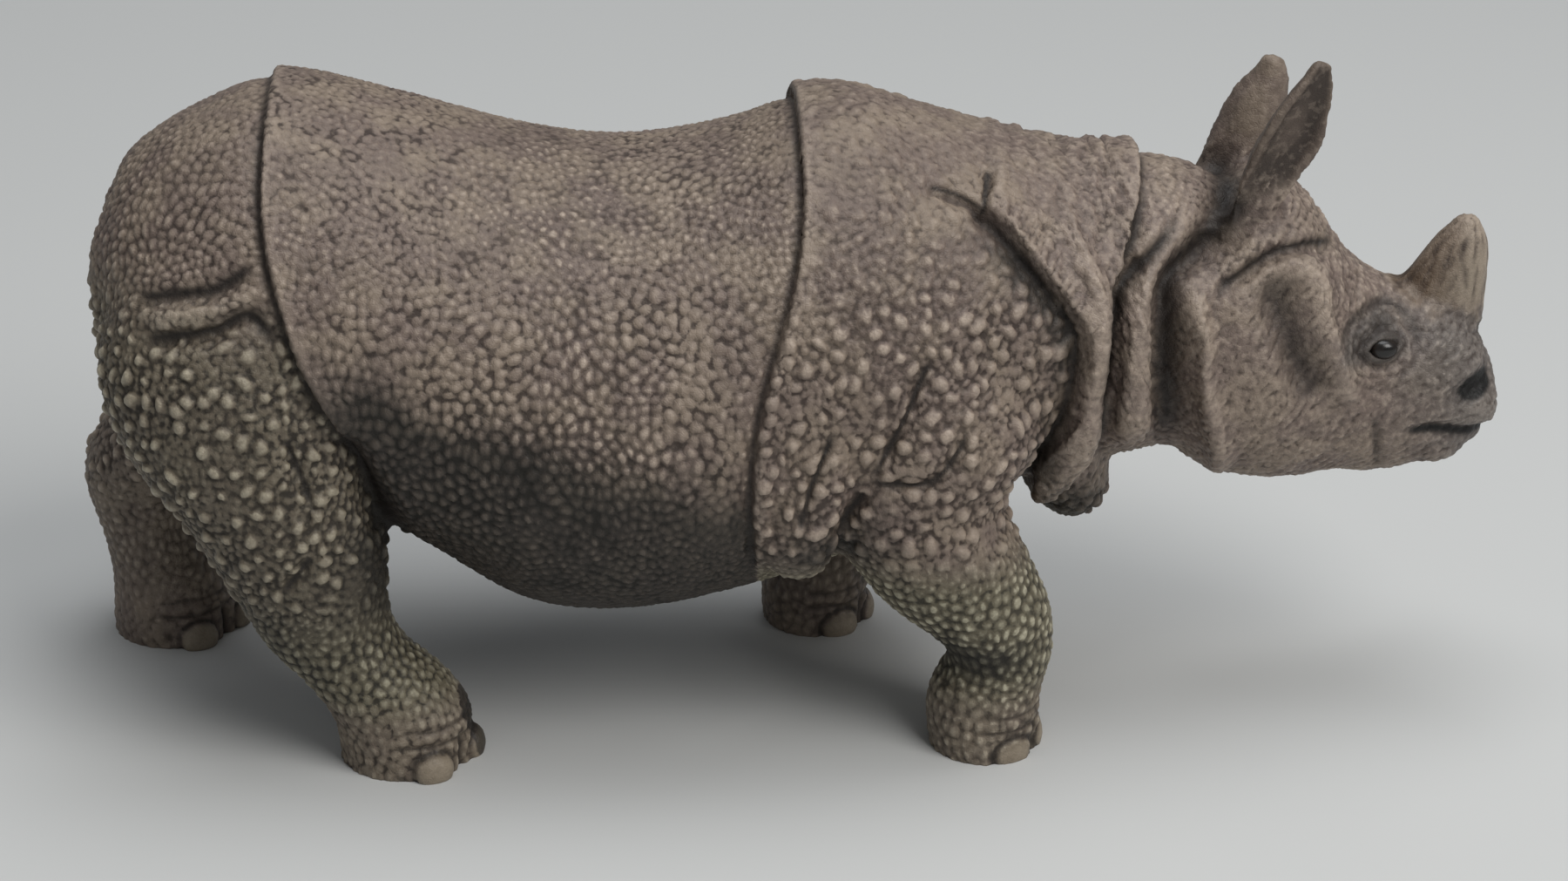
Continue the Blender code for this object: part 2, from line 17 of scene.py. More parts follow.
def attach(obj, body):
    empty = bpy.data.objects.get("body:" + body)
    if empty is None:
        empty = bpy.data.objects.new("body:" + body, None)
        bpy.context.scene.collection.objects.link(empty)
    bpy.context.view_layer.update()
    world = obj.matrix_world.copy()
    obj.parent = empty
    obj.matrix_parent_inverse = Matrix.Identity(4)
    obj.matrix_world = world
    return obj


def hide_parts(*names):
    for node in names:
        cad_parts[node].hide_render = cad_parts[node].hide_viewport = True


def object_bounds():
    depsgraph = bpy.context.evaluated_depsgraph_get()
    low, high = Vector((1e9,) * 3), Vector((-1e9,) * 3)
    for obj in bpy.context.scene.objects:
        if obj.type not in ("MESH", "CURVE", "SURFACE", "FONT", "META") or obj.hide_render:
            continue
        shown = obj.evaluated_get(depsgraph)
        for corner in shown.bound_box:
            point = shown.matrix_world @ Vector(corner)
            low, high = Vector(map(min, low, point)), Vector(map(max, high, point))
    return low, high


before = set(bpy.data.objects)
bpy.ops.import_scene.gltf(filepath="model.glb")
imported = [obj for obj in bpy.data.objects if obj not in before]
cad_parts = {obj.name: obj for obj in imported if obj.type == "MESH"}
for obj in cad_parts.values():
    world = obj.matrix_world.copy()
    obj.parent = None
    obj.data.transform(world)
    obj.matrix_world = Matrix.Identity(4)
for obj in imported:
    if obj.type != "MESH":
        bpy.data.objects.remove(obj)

SOLID_LOW, SOLID_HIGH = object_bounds()
PARTS_IN_LENGTH = 152.0
PART = (SOLID_HIGH.x - SOLID_LOW.x) / PARTS_IN_LENGTH

# How finely each stage is worked, in parts, and how often it is smoothed.
MASS_CELL = 0.75
MASS_SMOOTHING = 14
FEATURE_CELL = 0.42
FEATURE_SMOOTHING = 4
HIDE_CELL = 0.32
HIDE_SMOOTHING = 1
RING_SIDES = 40

# The trunk: along x, the height of the back and of the belly, half the width, and how pear-shaped it is.
TRUNK = [
    (-70.5, 57.0, 42.0, 9.0, 0.00),
    (-67.0, 61.8, 35.0, 14.5, 0.02),
    (-60.0, 66.2, 29.0, 19.5, 0.04),
    (-51.0, 69.2, 25.5, 22.3, 0.06),
    (-40.0, 66.8, 21.5, 24.0, 0.08),
    (-28.0, 63.4, 13.8, 25.2, 0.08),
    (-17.0, 61.9, 12.5, 25.8, 0.08),
    (-5.0, 63.9, 14.7, 25.2, 0.07),
    (4.0, 67.6, 17.5, 23.8, 0.06),
    (14.0, 65.2, 20.0, 21.5, 0.04),
    (24.0, 62.4, 25.5, 17.5, 0.02),
    (34.0, 61.0, 27.4, 14.0, 0.00),
    (44.0, 58.5, 28.4, 11.0, 0.00),
]
# The head, in the same columns, down to the upper lip.
HEAD = [
    (38.5, 52.0, 32.0, 8.5, 0.00),
    (42.0, 57.5, 27.2, 11.6, 0.06),
    (47.0, 59.2, 25.0, 12.6, 0.08),
    (51.5, 58.6, 24.2, 12.0, 0.06),
    (55.5, 54.2, 24.4, 10.6, 0.02),
    (58.5, 49.8, 25.0, 9.6, -0.02),
    (62.0, 47.0, 24.5, 8.8, -0.06),
    (66.0, 45.8, 25.0, 8.0, -0.06),
    (70.0, 44.4, 26.6, 7.4, -0.04),
    (73.0, 41.2, 27.9, 6.8, 0.00),
    (74.8, 37.5, 29.2, 5.2, 0.00),
]
# Each leg, from hip or shoulder to sole, in level slices: z, then the slice's middle x and y,
# and half its length fore and aft and half its width.
NEAR_HIND_LEG = [
    (54.0, -56.5, -9.5, 11.0, 10.0),
    (44.0, -56.0, -12.0, 14.4, 11.5),
    (35.0, -54.4, -14.0, 13.4, 10.4),
    (28.5, -52.0, -15.4, 10.8, 8.8),
    (23.5, -50.8, -15.8, 9.0, 7.6),
    (18.0, -49.5, -15.6, 7.5, 6.7),
    (13.5, -47.6, -15.2, 7.0, 6.3),
    (10.0, -44.3, -15.0, 7.2, 6.4),
    (6.0, -41.3, -14.9, 7.4, 6.8),
    (2.5, -40.6, -14.8, 7.1, 7.0),
    (-2.0, -40.6, -14.8, 6.9, 6.9),
]
FAR_HIND_LEG = [
    (54.0, -57.5, 9.5, 11.0, 10.0),
    (44.0, -58.0, 12.0, 13.6, 11.5),
    (35.0, -60.0, 14.0, 12.0, 10.4),
    (28.0, -62.4, 15.6, 9.9, 8.8),
    (22.5, -67.0, 16.4, 8.8, 7.6),
    (18.0, -69.4, 16.6, 7.0, 6.6),
    (13.0, -69.4, 16.6, 5.8, 6.0),
    (9.0, -68.4, 16.5, 5.9, 6.0),
    (5.0, -67.5, 16.5, 6.6, 6.6),
    (2.0, -67.3, 16.5, 7.0, 7.0),
    (-2.0, -67.3, 16.5, 6.9, 6.9),
]
NEAR_FORE_LEG = [
    (48.0, 9.5, -11.0, 11.0, 10.5),
    (38.0, 11.8, -13.0, 13.8, 10.6),
    (33.5, 12.1, -13.8, 13.1, 10.0),
    (29.0, 11.4, -14.4, 10.0, 9.2),
    (22.0, 14.9, -15.0, 9.4, 8.0),
    (17.0, 18.0, -15.0, 8.6, 7.0),
    (13.5, 20.6, -14.9, 6.6, 6.2),
    (10.5, 21.8, -14.8, 5.4, 5.7),
    (7.0, 20.4, -14.7, 5.9, 6.0),
    (3.5, 20.2, -14.6, 6.1, 6.3),
    (-2.0, 20.6, -14.6, 5.9, 6.2),
]
FAR_FORE_LEG = [
    (48.0, 8.0, 11.0, 11.0, 10.5),
    (38.0, 8.4, 13.0, 12.2, 10.6),
    (29.0, 8.4, 14.8, 10.6, 9.2),
    (22.0, 7.4, 15.6, 9.0, 8.0),
    (16.0, 6.4, 15.9, 7.2, 6.8),
    (11.0, 5.4, 15.9, 5.8, 6.0),
    (7.0, 4.7, 15.8, 5.9, 6.0),
    (3.5, 4.5, 15.8, 6.1, 6.3),
    (-2.0, 4.7, 15.8, 5.9, 6.2),
]
# Features in level slices like the legs: the horn, the bib of skin under the neck and the tail lie on the
# middle plane. The flap behind each elbow and the two hems of the neck rolls are built once for each side.
HORN = [
    (41.5, 68.2, 0.0, 5.7, 3.9),
    (44.5, 68.8, 0.0, 5.0, 3.5),
    (47.0, 69.7, 0.0, 4.2, 3.0),
    (49.3, 70.4, 0.0, 3.4, 2.5),
    (51.2, 70.9, 0.0, 2.5, 2.0),
    (52.4, 71.2, 0.0, 1.5, 1.4),
]
BIB = [
    (38.0, 28.0, 0.0, 6.5, 12.4),
    (32.0, 28.6, 0.0, 5.6, 11.2),
    (27.0, 29.4, 0.0, 5.0, 9.4),
    (23.6, 30.0, 0.0, 4.4, 7.6),
    (22.0, 30.2, 0.0, 3.2, 5.6),
]
TAIL = [
    (60.0, -63.5, 0.0, 3.0, 3.0),
    (56.0, -66.6, 0.0, 2.5, 2.6),
    (50.0, -69.2, 0.0, 2.2, 2.3),
    (42.0, -70.0, 0.0, 2.0, 2.0),
    (35.0, -69.4, 0.0, 1.8, 1.9),
    (32.5, -68.8, 0.0, 1.6, 1.6),
]
ELBOW_FLAP = [
    (46.0, 1.6, 18.0, 6.8, 5.6),
    (37.0, 0.8, 19.4, 5.8, 5.4),
    (30.0, 0.2, 19.6, 4.9, 4.9),
    (25.0, -0.2, 18.9, 3.8, 4.0),
    (22.6, 0.0, 18.3, 2.6, 2.8),
]
NAPE_HEM = [
    (45.0, 30.2, 10.6, 2.4, 3.8),
    (39.0, 30.0, 11.8, 2.8, 3.3),
    (34.0, 29.0, 12.0, 2.8, 2.7),
    (29.0, 27.2, 11.4, 2.2, 2.1),
    (26.6, 26.3, 10.8, 1.4, 1.5),
]
THROAT_HEM = [
    (47.0, 34.8, 10.4, 2.6, 3.8),
    (41.0, 35.0, 11.2, 2.8, 3.5),
    (36.0, 34.9, 10.8, 2.7, 3.0),
    (33.2, 34.5, 9.9, 1.7, 2.0),
]
# The chin is a rounded lump: its middle (x, y, z) and its half sizes.
CHIN = (68.6, 0.0, 28.7, 4.6, 5.5, 2.9)
# The ears stand on the nape: along each one x, y and z, its width, how far it cups and how thick it is,
# and then which way the hollow side looks.
NEAR_EAR = [
    (44.8, -6.4, 53.0, 5.6, 1.0, 4.8),
    (47.8, -6.9, 59.9, 6.2, 1.6, 3.6),
    (49.9, -7.3, 64.2, 7.2, 2.2, 2.8),
    (51.1, -7.5, 67.2, 6.2, 1.8, 2.5),
    (52.2, -7.6, 69.8, 4.3, 1.0, 2.3),
    (52.9, -7.6, 72.1, 2.3, 0.3, 2.0),
]
FAR_EAR = [
    (45.0, 5.0, 52.6, 8.2, 0.6, 6.2),
    (46.6, 5.5, 57.4, 7.4, 1.2, 4.4),
    (48.2, 5.9, 61.0, 7.0, 1.8, 3.0),
    (49.5, 6.0, 64.1, 6.2, 1.6, 2.5),
    (50.5, 6.1, 66.5, 4.4, 1.0, 2.3),
    (50.8, 6.1, 68.5, 2.6, 0.3, 2.0),
]
NEAR_EAR_LOOKS = (0.35, -0.93, 0.10)
FAR_EAR_LOOKS = (0.35, 0.93, 0.10)
# The feet: the middle of each sole, how far out its toes stand, and where they point in degrees from forward.
SOLES = {
    "near hind": (-40.6, -14.8, 5.2),
    "far hind": (-67.3, 16.5, 5.2),
    "near fore": (20.5, -14.6, 3.1),
    "far fore": (4.6, 15.8, 3.7),
}
TOE_DIRECTIONS = (-64.0, 0.0, 64.0)
TOE_SIZE = (3.5, 3.2, 5.0)
NAIL_SIZE = (1.2, 2.2, 1.9)
NAIL_HEIGHT = 0.9

# The folds of the hide, drawn in side view and the same on both flanks: how the fold is shaped, how far it
# stands out or cuts in, how wide it spreads, the least |y| where it acts, and its line in (x, z).
# A lap is proud on the left of its line and undercut on the right; a crease cuts in; a ridge stands out.
FOLDS = [
    ("lap", 1.15, 2.6, 0.0, [(-52.4, 74), (-52.9, 66), (-53.0, 62), (-52.4, 57), (-51.0, 52), (-49.4, 47),
                             (-46.6, 41.5), (-44.0, 36), (-41.8, 30), (-40, 24)]),
    ("lap", 1.05, 2.4, 0.0, [(0.7, 73), (0.4, 65), (0.3, 60), (-0.8, 54), (-2.6, 48), (-4.2, 42), (-5.0, 35),
                             (-4.6, 27), (-4.0, 20)]),
    ("lap", 1.7, 2.4, 3.0, [(17.0, 60.0), (18.6, 58.7), (20.3, 57.4), (22.4, 55.0), (24.5, 52.5),
                            (26.7, 49.6), (28.4, 46.4), (28.2, 42), (27.4, 37), (25.6, 32), (25.0, 26)]),
    ("lap", 1.3, 2.6, 0.0, [(30.9, 31), (31.3, 42), (31.6, 49.5), (33.4, 54), (35.0, 58), (36.2, 62),
                            (36.4, 68)]),
    ("crease", 2.0, 1.0, 0.0, [(39.5, 56.5), (36.2, 53.4), (33.6, 51.2), (32.4, 48.4), (31.8, 44), (31.5, 38),
                               (31.6, 30)]),
    ("crease", 3.0, 1.9, 0.0, [(46.0, 60.5), (44.6, 56.2), (41.6, 53.0), (38.6, 51.0), (38.0, 47.6),
                               (38.3, 42), (38.9, 36), (39.6, 30)]),
    ("ridge", 1.3, 1.7, 4.0, [(26.4, 58.5), (29.0, 53.0), (30.0, 47.0), (29.8, 41.0), (29.2, 35.0),
                              (28.8, 31.0)]),
    ("ridge", 1.3, 2.0, 4.0, [(41.0, 56.4), (37.0, 53.6), (35.0, 49.4), (34.6, 43.0), (34.8, 36.0),
                              (35.0, 32.5)]),
    ("ridge", 1.7, 1.3, 3.0, [(40.0, 50.4), (40.8, 46.8), (41.9, 43.6), (42.2, 40.0), (43.6, 35.4),
                              (45.0, 29.6), (45.2, 26.0)]),
    ("crease", 1.5, 2.1, 4.0, [(48.4, 51.0), (49.6, 47.2), (51.0, 43.7), (52.6, 40.2), (54.4, 36.8)]),
    ("ridge", 1.7, 1.5, 4.0, [(48.6, 52.0), (52.0, 51.0), (53.6, 48.6), (54.0, 45.6), (55.2, 42.6),
                              (57.0, 38.8), (58.8, 35.4)]),
    ("crease", 1.3, 0.8, 3.0, [(42.6, 48.8), (46.0, 50.9), (49.0, 52.6), (52.6, 52.8), (57.0, 51.6)]),
    ("crease", 1.0, 0.9, 10.0, [(-66.0, 52.0), (-60.3, 53.3), (-57.4, 53.9), (-53.6, 56.2)]),
    ("crease", 1.0, 0.9, 10.0, [(-65.0, 48.6), (-61.6, 49.4), (-57.4, 50.4), (-54.3, 51.7), (-51.6, 49.0)]),
    ("ridge", 0.6, 1.1, 10.0, [(-65.0, 50.4), (-61.0, 51.3), (-57.0, 52.2), (-53.5, 53.6)]),
    ("crease", 1.8, 1.4, 12.0, [(-46.0, 40.4), (-44.4, 37.4), (-42.9, 33.4), (-41.6, 29.0), (-41.0, 24.0)]),
    ("crease", 0.8, 0.7, 14.0, [(-51.2, 40.1), (-48.7, 32.4)]),
    ("crease", 0.8, 0.7, 12.0, [(-52.0, 22.6), (-49.0, 26.9)]),
    ("crease", 0.9, 0.7, 12.0, [(12.7, 46.6), (10.6, 41.6), (7.0, 34.2)]),
    ("crease", 0.9, 0.7, 12.0, [(7.0, 33.8), (13.1, 34.1), (16.7, 38.9)]),
    ("crease", 0.8, 0.7, 12.0, [(3.1, 40.2), (0.9, 34.4), (-0.4, 29.1)]),
    ("crease", 0.8, 0.7, 12.0, [(6.5, 33.0), (3.6, 27.4)]),
    ("crease", 1.0, 0.5, 4.0, [(12.8, 61.2), (15.8, 60.2), (18.6, 58.8)]),
    ("crease", 1.1, 0.55, 4.0, [(18.2, 58.0), (19.5, 61.6)]),
    ("crease", 1.2, 0.8, 0.0, [(64.8, 31.7), (68.1, 31.5), (70.7, 30.9), (73.6, 30.4), (80.0, 30.4)]),
    ("crease", 0.5, 0.8, 3.0, [(56.0, 42.6), (57.9, 44.3), (60.6, 45.3), (63.0, 44.9), (64.8, 43.6),
                               (66.0, 41.0)]),
    ("crease", 0.2, 0.8, 3.0, [(57.4, 39.2), (59.8, 37.5), (61.8, 37.2), (63.6, 38.0), (64.8, 39.4)]),
    ("crease", 0.4, 0.7, 3.0, [(61.0, 34.2), (61.7, 30.8), (62.8, 26.4)]),
]
# Round hollows and swellings drawn in side view: x, z, the two half sizes, the slope in degrees, the depth.
SPOTS = [
    (61.4, 41.6, 3.6, 2.8, 0.0, -0.7),
    (61.4, 41.6, 1.5, 1.2, 0.0, 1.0),
    (72.6, 36.2, 2.7, 1.5, 18.0, -1.7),
]
# The parting between the buttocks, where the tail lies: how deep, half how wide, and its two ends in z.
PARTING_DEPTH = 3.0
PARTING_WIDTH = 3.4
PARTING_SPAN = (30.0, 58.0)

# The knobs and pebbles: how far apart their middles stand on each part of the figure, in parts.
SADDLE_PEBBLE = 1.35
BACK_PEBBLE = 1.1
BETWEEN_KNOBS = 0.95
LEG_SCALE = 1.3
FACE_GRAIN = 0.95
KNOB_SPACING = 2.4
# The seeds' space is pressed flatter by this, which draws the pebbles upright, and the lattice that the seeds
# start from is turned in it, so that its layers don't lie along the flanks.
UPRIGHT_PRESS = 0.86
LATTICE_TURN = np.array([[0.8, 0.36, 0.48], [-0.6, 0.48, 0.64], [0.0, -0.8, 0.6]])
# How high each kind stands, in parts.
PEBBLE_HEIGHT = 0.27
KNOB_HEIGHT = 0.5
SCALE_HEIGHT = 0.24
FACE_GRAIN_HEIGHT = 0.11
WRINKLE_HEIGHT = 0.24
NECK_FOLD_HEIGHT = 0.55
# The eyes: the middle of the ball on each side, its half sizes, and half the length and height of the slit.
EYE_PLACE = (61.6, 7.95, 41.4)
EYE_SIZE = (1.45, 0.9, 1.05)
EYE_SLIT = (1.75, 0.8)
# The lines of the folds that part the hide and that the paint follows, the mouth's line, and the nostril.
RUMP_LINE = FOLDS[0][4]
SHOULDER_LINE = FOLDS[1][4]
NECK_LINE = FOLDS[2][4]
JAW_LINE = FOLDS[5][4]
MOUTH_LINE = FOLDS[24][4]
NOSTRIL = SPOTS[2]
# Patches of painted shade, where shadow falls, in side view: x, z, the two half sizes, and how dark.
PAINTED_SHADE_PATCHES = {
    "groin": (-40.0, 27.0, 5.0, 8.0, 1.0),
    "elbow": (4.0, 27.0, 6.0, 5.0, 0.6),
    "behind the near fore ankle": (13.5, 12.0, 3.6, 5.0, 0.75),
    "behind the near hind ankle": (-55.0, 12.0, 3.6, 5.0, 0.3),
    "behind the far fore ankle": (-1.0, 12.0, 3.6, 5.0, 0.6),
    "near fore ankle": (20.0, 12.0, 6.0, 3.0, 1.0),
    "bib": (30.5, 23.5, 6.0, 5.0, 1.1),
    "behind the bib": (25.6, 33.0, 2.2, 6.0, 0.9),
}
# How often the surface is smoothed to find how far a place stands above it, and the height that counts full.
BROAD_ROUNDS = 90
BROAD_DEPTH = 0.6
FINE_ROUNDS = 6
FINE_DEPTH = 0.12
# The hide's pieces from tail to snout, and the sets of numbers that the paint follows on each.
HIDE_PIECES = ("hindquarters", "saddle", "forequarters", "head")
LOOKS = ("relief", "zones", "details", "marks", "tones")


def paint(red, green, blue):
    """A paint colour as the eye names it, from 0 to 255, in the shader's own linear light."""
    values = np.array([red, green, blue]) / 255
    linear = np.where(values <= 0.04045, values / 12.92, ((values + 0.055) / 1.055) ** 2.4)
    return (*linear.tolist(), 1.0)


# The paints: what lies under, what the wash leaves in the hollows, what is brushed over the tops, and the
# painted shade and shadow.
TAUPE = paint(128, 114, 101)
TAUPE_DEEP = paint(104, 91, 80)
MAUVE = paint(106, 91, 86)
SAND = paint(140, 125, 110)
OLIVE = paint(94, 88, 70)
WARM_TAUPE = paint(126, 112, 101)
SLATE = paint(80, 76, 74)
# Painted shade, and on the belly a dark wash as well.
SHADE_AND_WASH = paint(31, 28, 23)
HORN_BROWN = paint(90, 74, 59)
# The front of the horn is painted paler, partly as painted light on the side that faces the light.
HORN_FRONT = paint(138, 126, 111)
NAIL_BEIGE = paint(124, 112, 96)
# Brown on the ears, laid mostly on the near ear, partly its own colour and partly painted shade; the far ear
# is left pale as if lit.
EAR_BROWN_AND_SHADE = paint(80, 69, 60)
# Painted shade in the hollow of each ear.
EAR_HOLLOW_SHADE = paint(58, 49, 43)
WASH = paint(46, 36, 32)
LEG_WASH = paint(32, 30, 24)
FACE_WASH = paint(56, 46, 41)
NAIL_WASH = paint(70, 60, 49)
BRUSHED = paint(176, 160, 145)
LEG_BRUSHED = paint(186, 180, 157)
FACE_BRUSHED = paint(176, 160, 145)
SLATE_BRUSHED = paint(138, 131, 125)
NAIL_BRUSHED = paint(168, 156, 138)
# Painted shadow down in the folds, the toe clefts, round the nails and in the lid creases, and darker paint
# round the eyes.
CREASE_SHADOW = paint(28, 23, 20)
OPENING_BLACK = paint(16, 14, 13)
EYE_BLACK = paint(10, 8, 7)
EYE_BROWN = paint(26, 19, 15)

# How large the paint's patches, blots and flecks are, and how wide and deep the net of the cast grain, in m.
PATCH_SIZE = 0.016
BLOT_SIZE = 0.0052
FLECK_SIZE = 0.0008
EYE_PATCH_SIZE = 0.0012
GRAIN_SIZE = 0.00045
GRAIN_DEPTH = 0.00012
# Those of a shader group's sockets that carry a colour. All others carry a number.
COLOUR_SOCKETS = ("Base", "Wash", "Brushed", "Color")

# The studio: the floor, the soft boxes (place, width, power and colour) and the sky.
FLOOR_WIDTH = 6.0
FLOOR_PALE = paint(201, 202, 201)
SOFT_BOXES = {
    "window": ((0.34, -0.42, 0.56), 0.42, 3.4, (1.0, 0.985, 0.96)),
    "ceiling": ((0.05, 0.05, 0.85), 0.60, 3.6, (0.97, 0.985, 1.0)),
}
LIGHT_AIM = (0.0, 0.0, 0.03)
SKY_COLOUR = (0.82, 0.85, 0.88, 1.0)
SKY_STRENGTH = 0.24

# The camera, fitted to the photograph.
CAMERA_AZIMUTH = -4.0
CAMERA_ELEVATION = 24.0
CAMERA_ROLL = 0.8
CAMERA_DISTANCE = 0.380
CAMERA_TARGET = (0.0, 0.0, 0.0285)
CAMERA_LENS = 82.08


def smooth_curve(rows, count):
    """Rows resampled at count even steps along the table, by a Catmull-Rom curve through them."""
    table = np.array(rows, float)
    padded = np.vstack([2 * table[0] - table[1], table, 2 * table[-1] - table[-2]])
    steps = np.linspace(0, len(table) - 1 - 1e-9, count)
    cell = steps.astype(int)
    t = (steps - cell)[:, None]
    a, b, c, d = (padded[cell + k] for k in range(4))
    return 0.5 * (
        2 * b + (c - a) * t + (2 * a - 5 * b + 4 * c - d) * t**2 + (3 * b - 3 * c + d - a) * t**3
    )


def smooth_step(value, low, high):
    """0 below low, 1 above high, and an even S-shaped rise between them."""
    t = np.clip((value - low) / (high - low), 0.0, 1.0)
    return t * t * (3 - 2 * t)


def add_object(name, data):
    """A new object in the scene."""
    obj = bpy.data.objects.new(name, data)
    bpy.context.scene.collection.objects.link(obj)
    return obj


def mesh_of_rings(name, rings):
    """A closed mesh over rows of ring points, in parts, with a fan at each end."""
    rings = np.asarray(rings)
    rows, sides = rings.shape[:2]
    tips = [rings[0].mean(axis=0), rings[-1].mean(axis=0)]
    points = np.vstack([rings.reshape(-1, 3), tips]) * PART
    here = np.arange(sides)
    after = (here + 1) % sides
    faces = []
    for row in range(rows - 1):
        low, high = row * sides, (row + 1) * sides
        faces += np.stack([low + here, low + after, high + after, high + here], axis=1).tolist()
    first, last = rows * sides, rows * sides + 1
    faces += np.stack([np.full(sides, first), after, here], axis=1).tolist()
    end = (rows - 1) * sides
    faces += np.stack([np.full(sides, last), end + here, end + after], axis=1).tolist()
    mesh = bpy.data.meshes.new(name)
    mesh.from_pydata(points.tolist(), [], faces)
    work = bmesh.new()
    work.from_mesh(mesh)
    bmesh.ops.recalc_face_normals(work, faces=work.faces)
    work.to_mesh(mesh)
    work.free()
    return add_object(name, mesh)


def dome_ends(rings, cap):
    """The rings with domed ends: each end ring again, shrinking and moving out over cap parts."""
    rings = [np.asarray(r) for r in rings]
    steps = np.linspace(0, np.pi / 2, 6)[1:]
    for end, inner in ((0, 1), (-1, -2)):
        ring = rings[end]
        centre = ring.mean(axis=0)
        out = centre - rings[inner].mean(axis=0)
        out = out / np.linalg.norm(out)
        extra = [centre + (ring - centre) * max(np.cos(s), 0.02) + out * cap * np.sin(s) for s in steps]
        rings = extra[::-1] + rings if end == 0 else rings + extra
    return rings


def body_of(name, rows, count, cap):
    """A mass lying along x, from rows of (x, top, bottom, half width, pear)."""
    angle = np.linspace(0, 2 * np.pi, RING_SIDES, endpoint=False)
    up, side = np.cos(angle), np.sin(angle)
    rings = []
    for x, top, bottom, width, pear in smooth_curve(rows, count):
        middle, half = (top + bottom) / 2, (top - bottom) / 2
        y = width * side * (1 - pear * up)
        rings.append(np.stack([np.full_like(up, x), y, middle + half * up], axis=1))
    return mesh_of_rings(name, dome_ends(rings, cap))


def column_of(name, rows, cap, side=1.0):
    """A mass standing along z, from level slices of (z, x, y, half length, half width)."""
    angle = np.linspace(0, 2 * np.pi, RING_SIDES, endpoint=False)
    rings = [
        np.stack([x + long * np.cos(angle), side * y + wide * np.sin(angle), np.full_like(angle, z)], axis=1)
        for z, x, y, long, wide in smooth_curve(rows, 40)
    ]
    return mesh_of_rings(name, dome_ends(rings, cap))


def lump(name, middle, half_sizes, turn=0.0):
    """An ellipsoid with its first axis turned by an angle about z."""
    polar = np.linspace(0.04, np.pi - 0.04, 14)
    angle = np.linspace(0, 2 * np.pi, 24, endpoint=False)
    a, b, c = half_sizes
    rings = []
    for p in polar:
        x, y = a * np.sin(p) * np.cos(angle), b * np.sin(p) * np.sin(angle)
        ahead, beside = x * np.cos(turn) - y * np.sin(turn), x * np.sin(turn) + y * np.cos(turn)
        rings.append(np.stack([ahead, beside, np.full_like(x, c * np.cos(p))], axis=1) + middle)
    return mesh_of_rings(name, rings)


def ear(name, rows, looks):
    """A cupped leaf along a path: each cross-section is a flat oval bent forward at its two edges."""
    table = smooth_curve(rows, 30)
    line = table[:, :3]
    tangent = np.gradient(line, axis=0)
    tangent /= np.linalg.norm(tangent, axis=1)[:, None]
    front = np.array(looks) / np.linalg.norm(looks)
    angle = np.linspace(0, 2 * np.pi, 28, endpoint=False)
    rings = []
    for point, t, (width, cup, thick) in zip(line, tangent, table[:, 3:]):
        forward = front - t * (front @ t)
        forward /= np.linalg.norm(forward)
        across = np.cross(t, forward)
        out = thick / 2 * np.sin(angle) + cup * (np.cos(angle) ** 2 - 0.5)
        rings.append(point + np.outer(width / 2 * np.cos(angle), across) + np.outer(out, forward))
    return mesh_of_rings(name, dome_ends(rings, 0.6))


def feet():
    """The toes and nails around the front of every sole."""
    pieces = []
    for name, (x, y, reach) in SOLES.items():
        for degrees in TOE_DIRECTIONS:
            turn = np.radians(degrees)
            ahead = np.array([np.cos(turn), np.sin(turn), 0.0])
            toe = np.array([x, y, 0.4]) + ahead * (reach - 0.9)
            pieces.append(lump(f"{name} toe", toe, TOE_SIZE, turn))
            nail = np.array([x, y, NAIL_HEIGHT]) + ahead * (reach + 1.9)
            pieces.append(lump(f"{name} nail", nail, NAIL_SIZE, turn))
    return pieces


def evaluated_mesh(obj):
    """A new mesh of an object as its modifiers leave it."""
    graph = bpy.context.evaluated_depsgraph_get()
    return bpy.data.meshes.new_from_object(obj.evaluated_get(graph))


def joined(name, members, cell, smoothing):
    """One closed skin around the members: a voxel remesh of them, then smoothing that rounds the joins."""
    work = bmesh.new()
    for member in members:
        work.from_mesh(member.data)
        bpy.data.objects.remove(member)
    mesh = bpy.data.meshes.new(name)
    work.to_mesh(mesh)
    work.free()
    obj = add_object(name, mesh)
    remesh = obj.modifiers.new("one skin", "REMESH")
    remesh.mode = "VOXEL"
    remesh.voxel_size = cell * PART
    smooth = obj.modifiers.new("rounded joins", "SMOOTH")
    smooth.factor = 0.5
    smooth.iterations = smoothing
    bpy.context.view_layer.update()
    obj.data = evaluated_mesh(obj)
    obj.modifiers.clear()
    return obj


def places_and_normals(obj):
    """The vertices of a mesh in parts, and their outward normals."""
    count = len(obj.data.vertices)
    places = np.empty(count * 3)
    obj.data.vertices.foreach_get("co", places)
    normals = np.empty(count * 3)
    obj.data.vertices.foreach_get("normal", normals)
    return places.reshape(-1, 3) / PART, normals.reshape(-1, 3)


def move_vertices(obj, places):
    """The vertices of a mesh set to new places, in parts."""
    obj.data.vertices.foreach_set("co", (places * PART).ravel())
    obj.data.update()


def from_line(places, line):
    """For each place, in side view: the distance to a line, the same signed, and how far along it lies.

    The signed distance is above 0 on the left of the line's run, and along goes from 0 to 1.
    """
    points = smooth_curve(line, 6 * len(line))
    start, step = points[:-1], np.diff(points, axis=0)
    flat = places[:, [0, 2]]
    nearest = np.full(len(flat), np.inf)
    signed = np.zeros(len(flat))
    along = np.zeros(len(flat))
    for index, (origin, run) in enumerate(zip(start, step)):
        offset = flat - origin
        t = np.clip(offset @ run / (run @ run), 0.0, 1.0)
        gap = offset - t[:, None] * run
        distance = np.hypot(gap[:, 0], gap[:, 1])
        closer = distance < nearest
        nearest[closer] = distance[closer]
        side = run[0] * offset[closer, 1] - run[1] * offset[closer, 0]
        signed[closer] = np.sign(side) * distance[closer]
        along[closer] = (index + t[closer]) / len(start)
    return nearest, signed, along


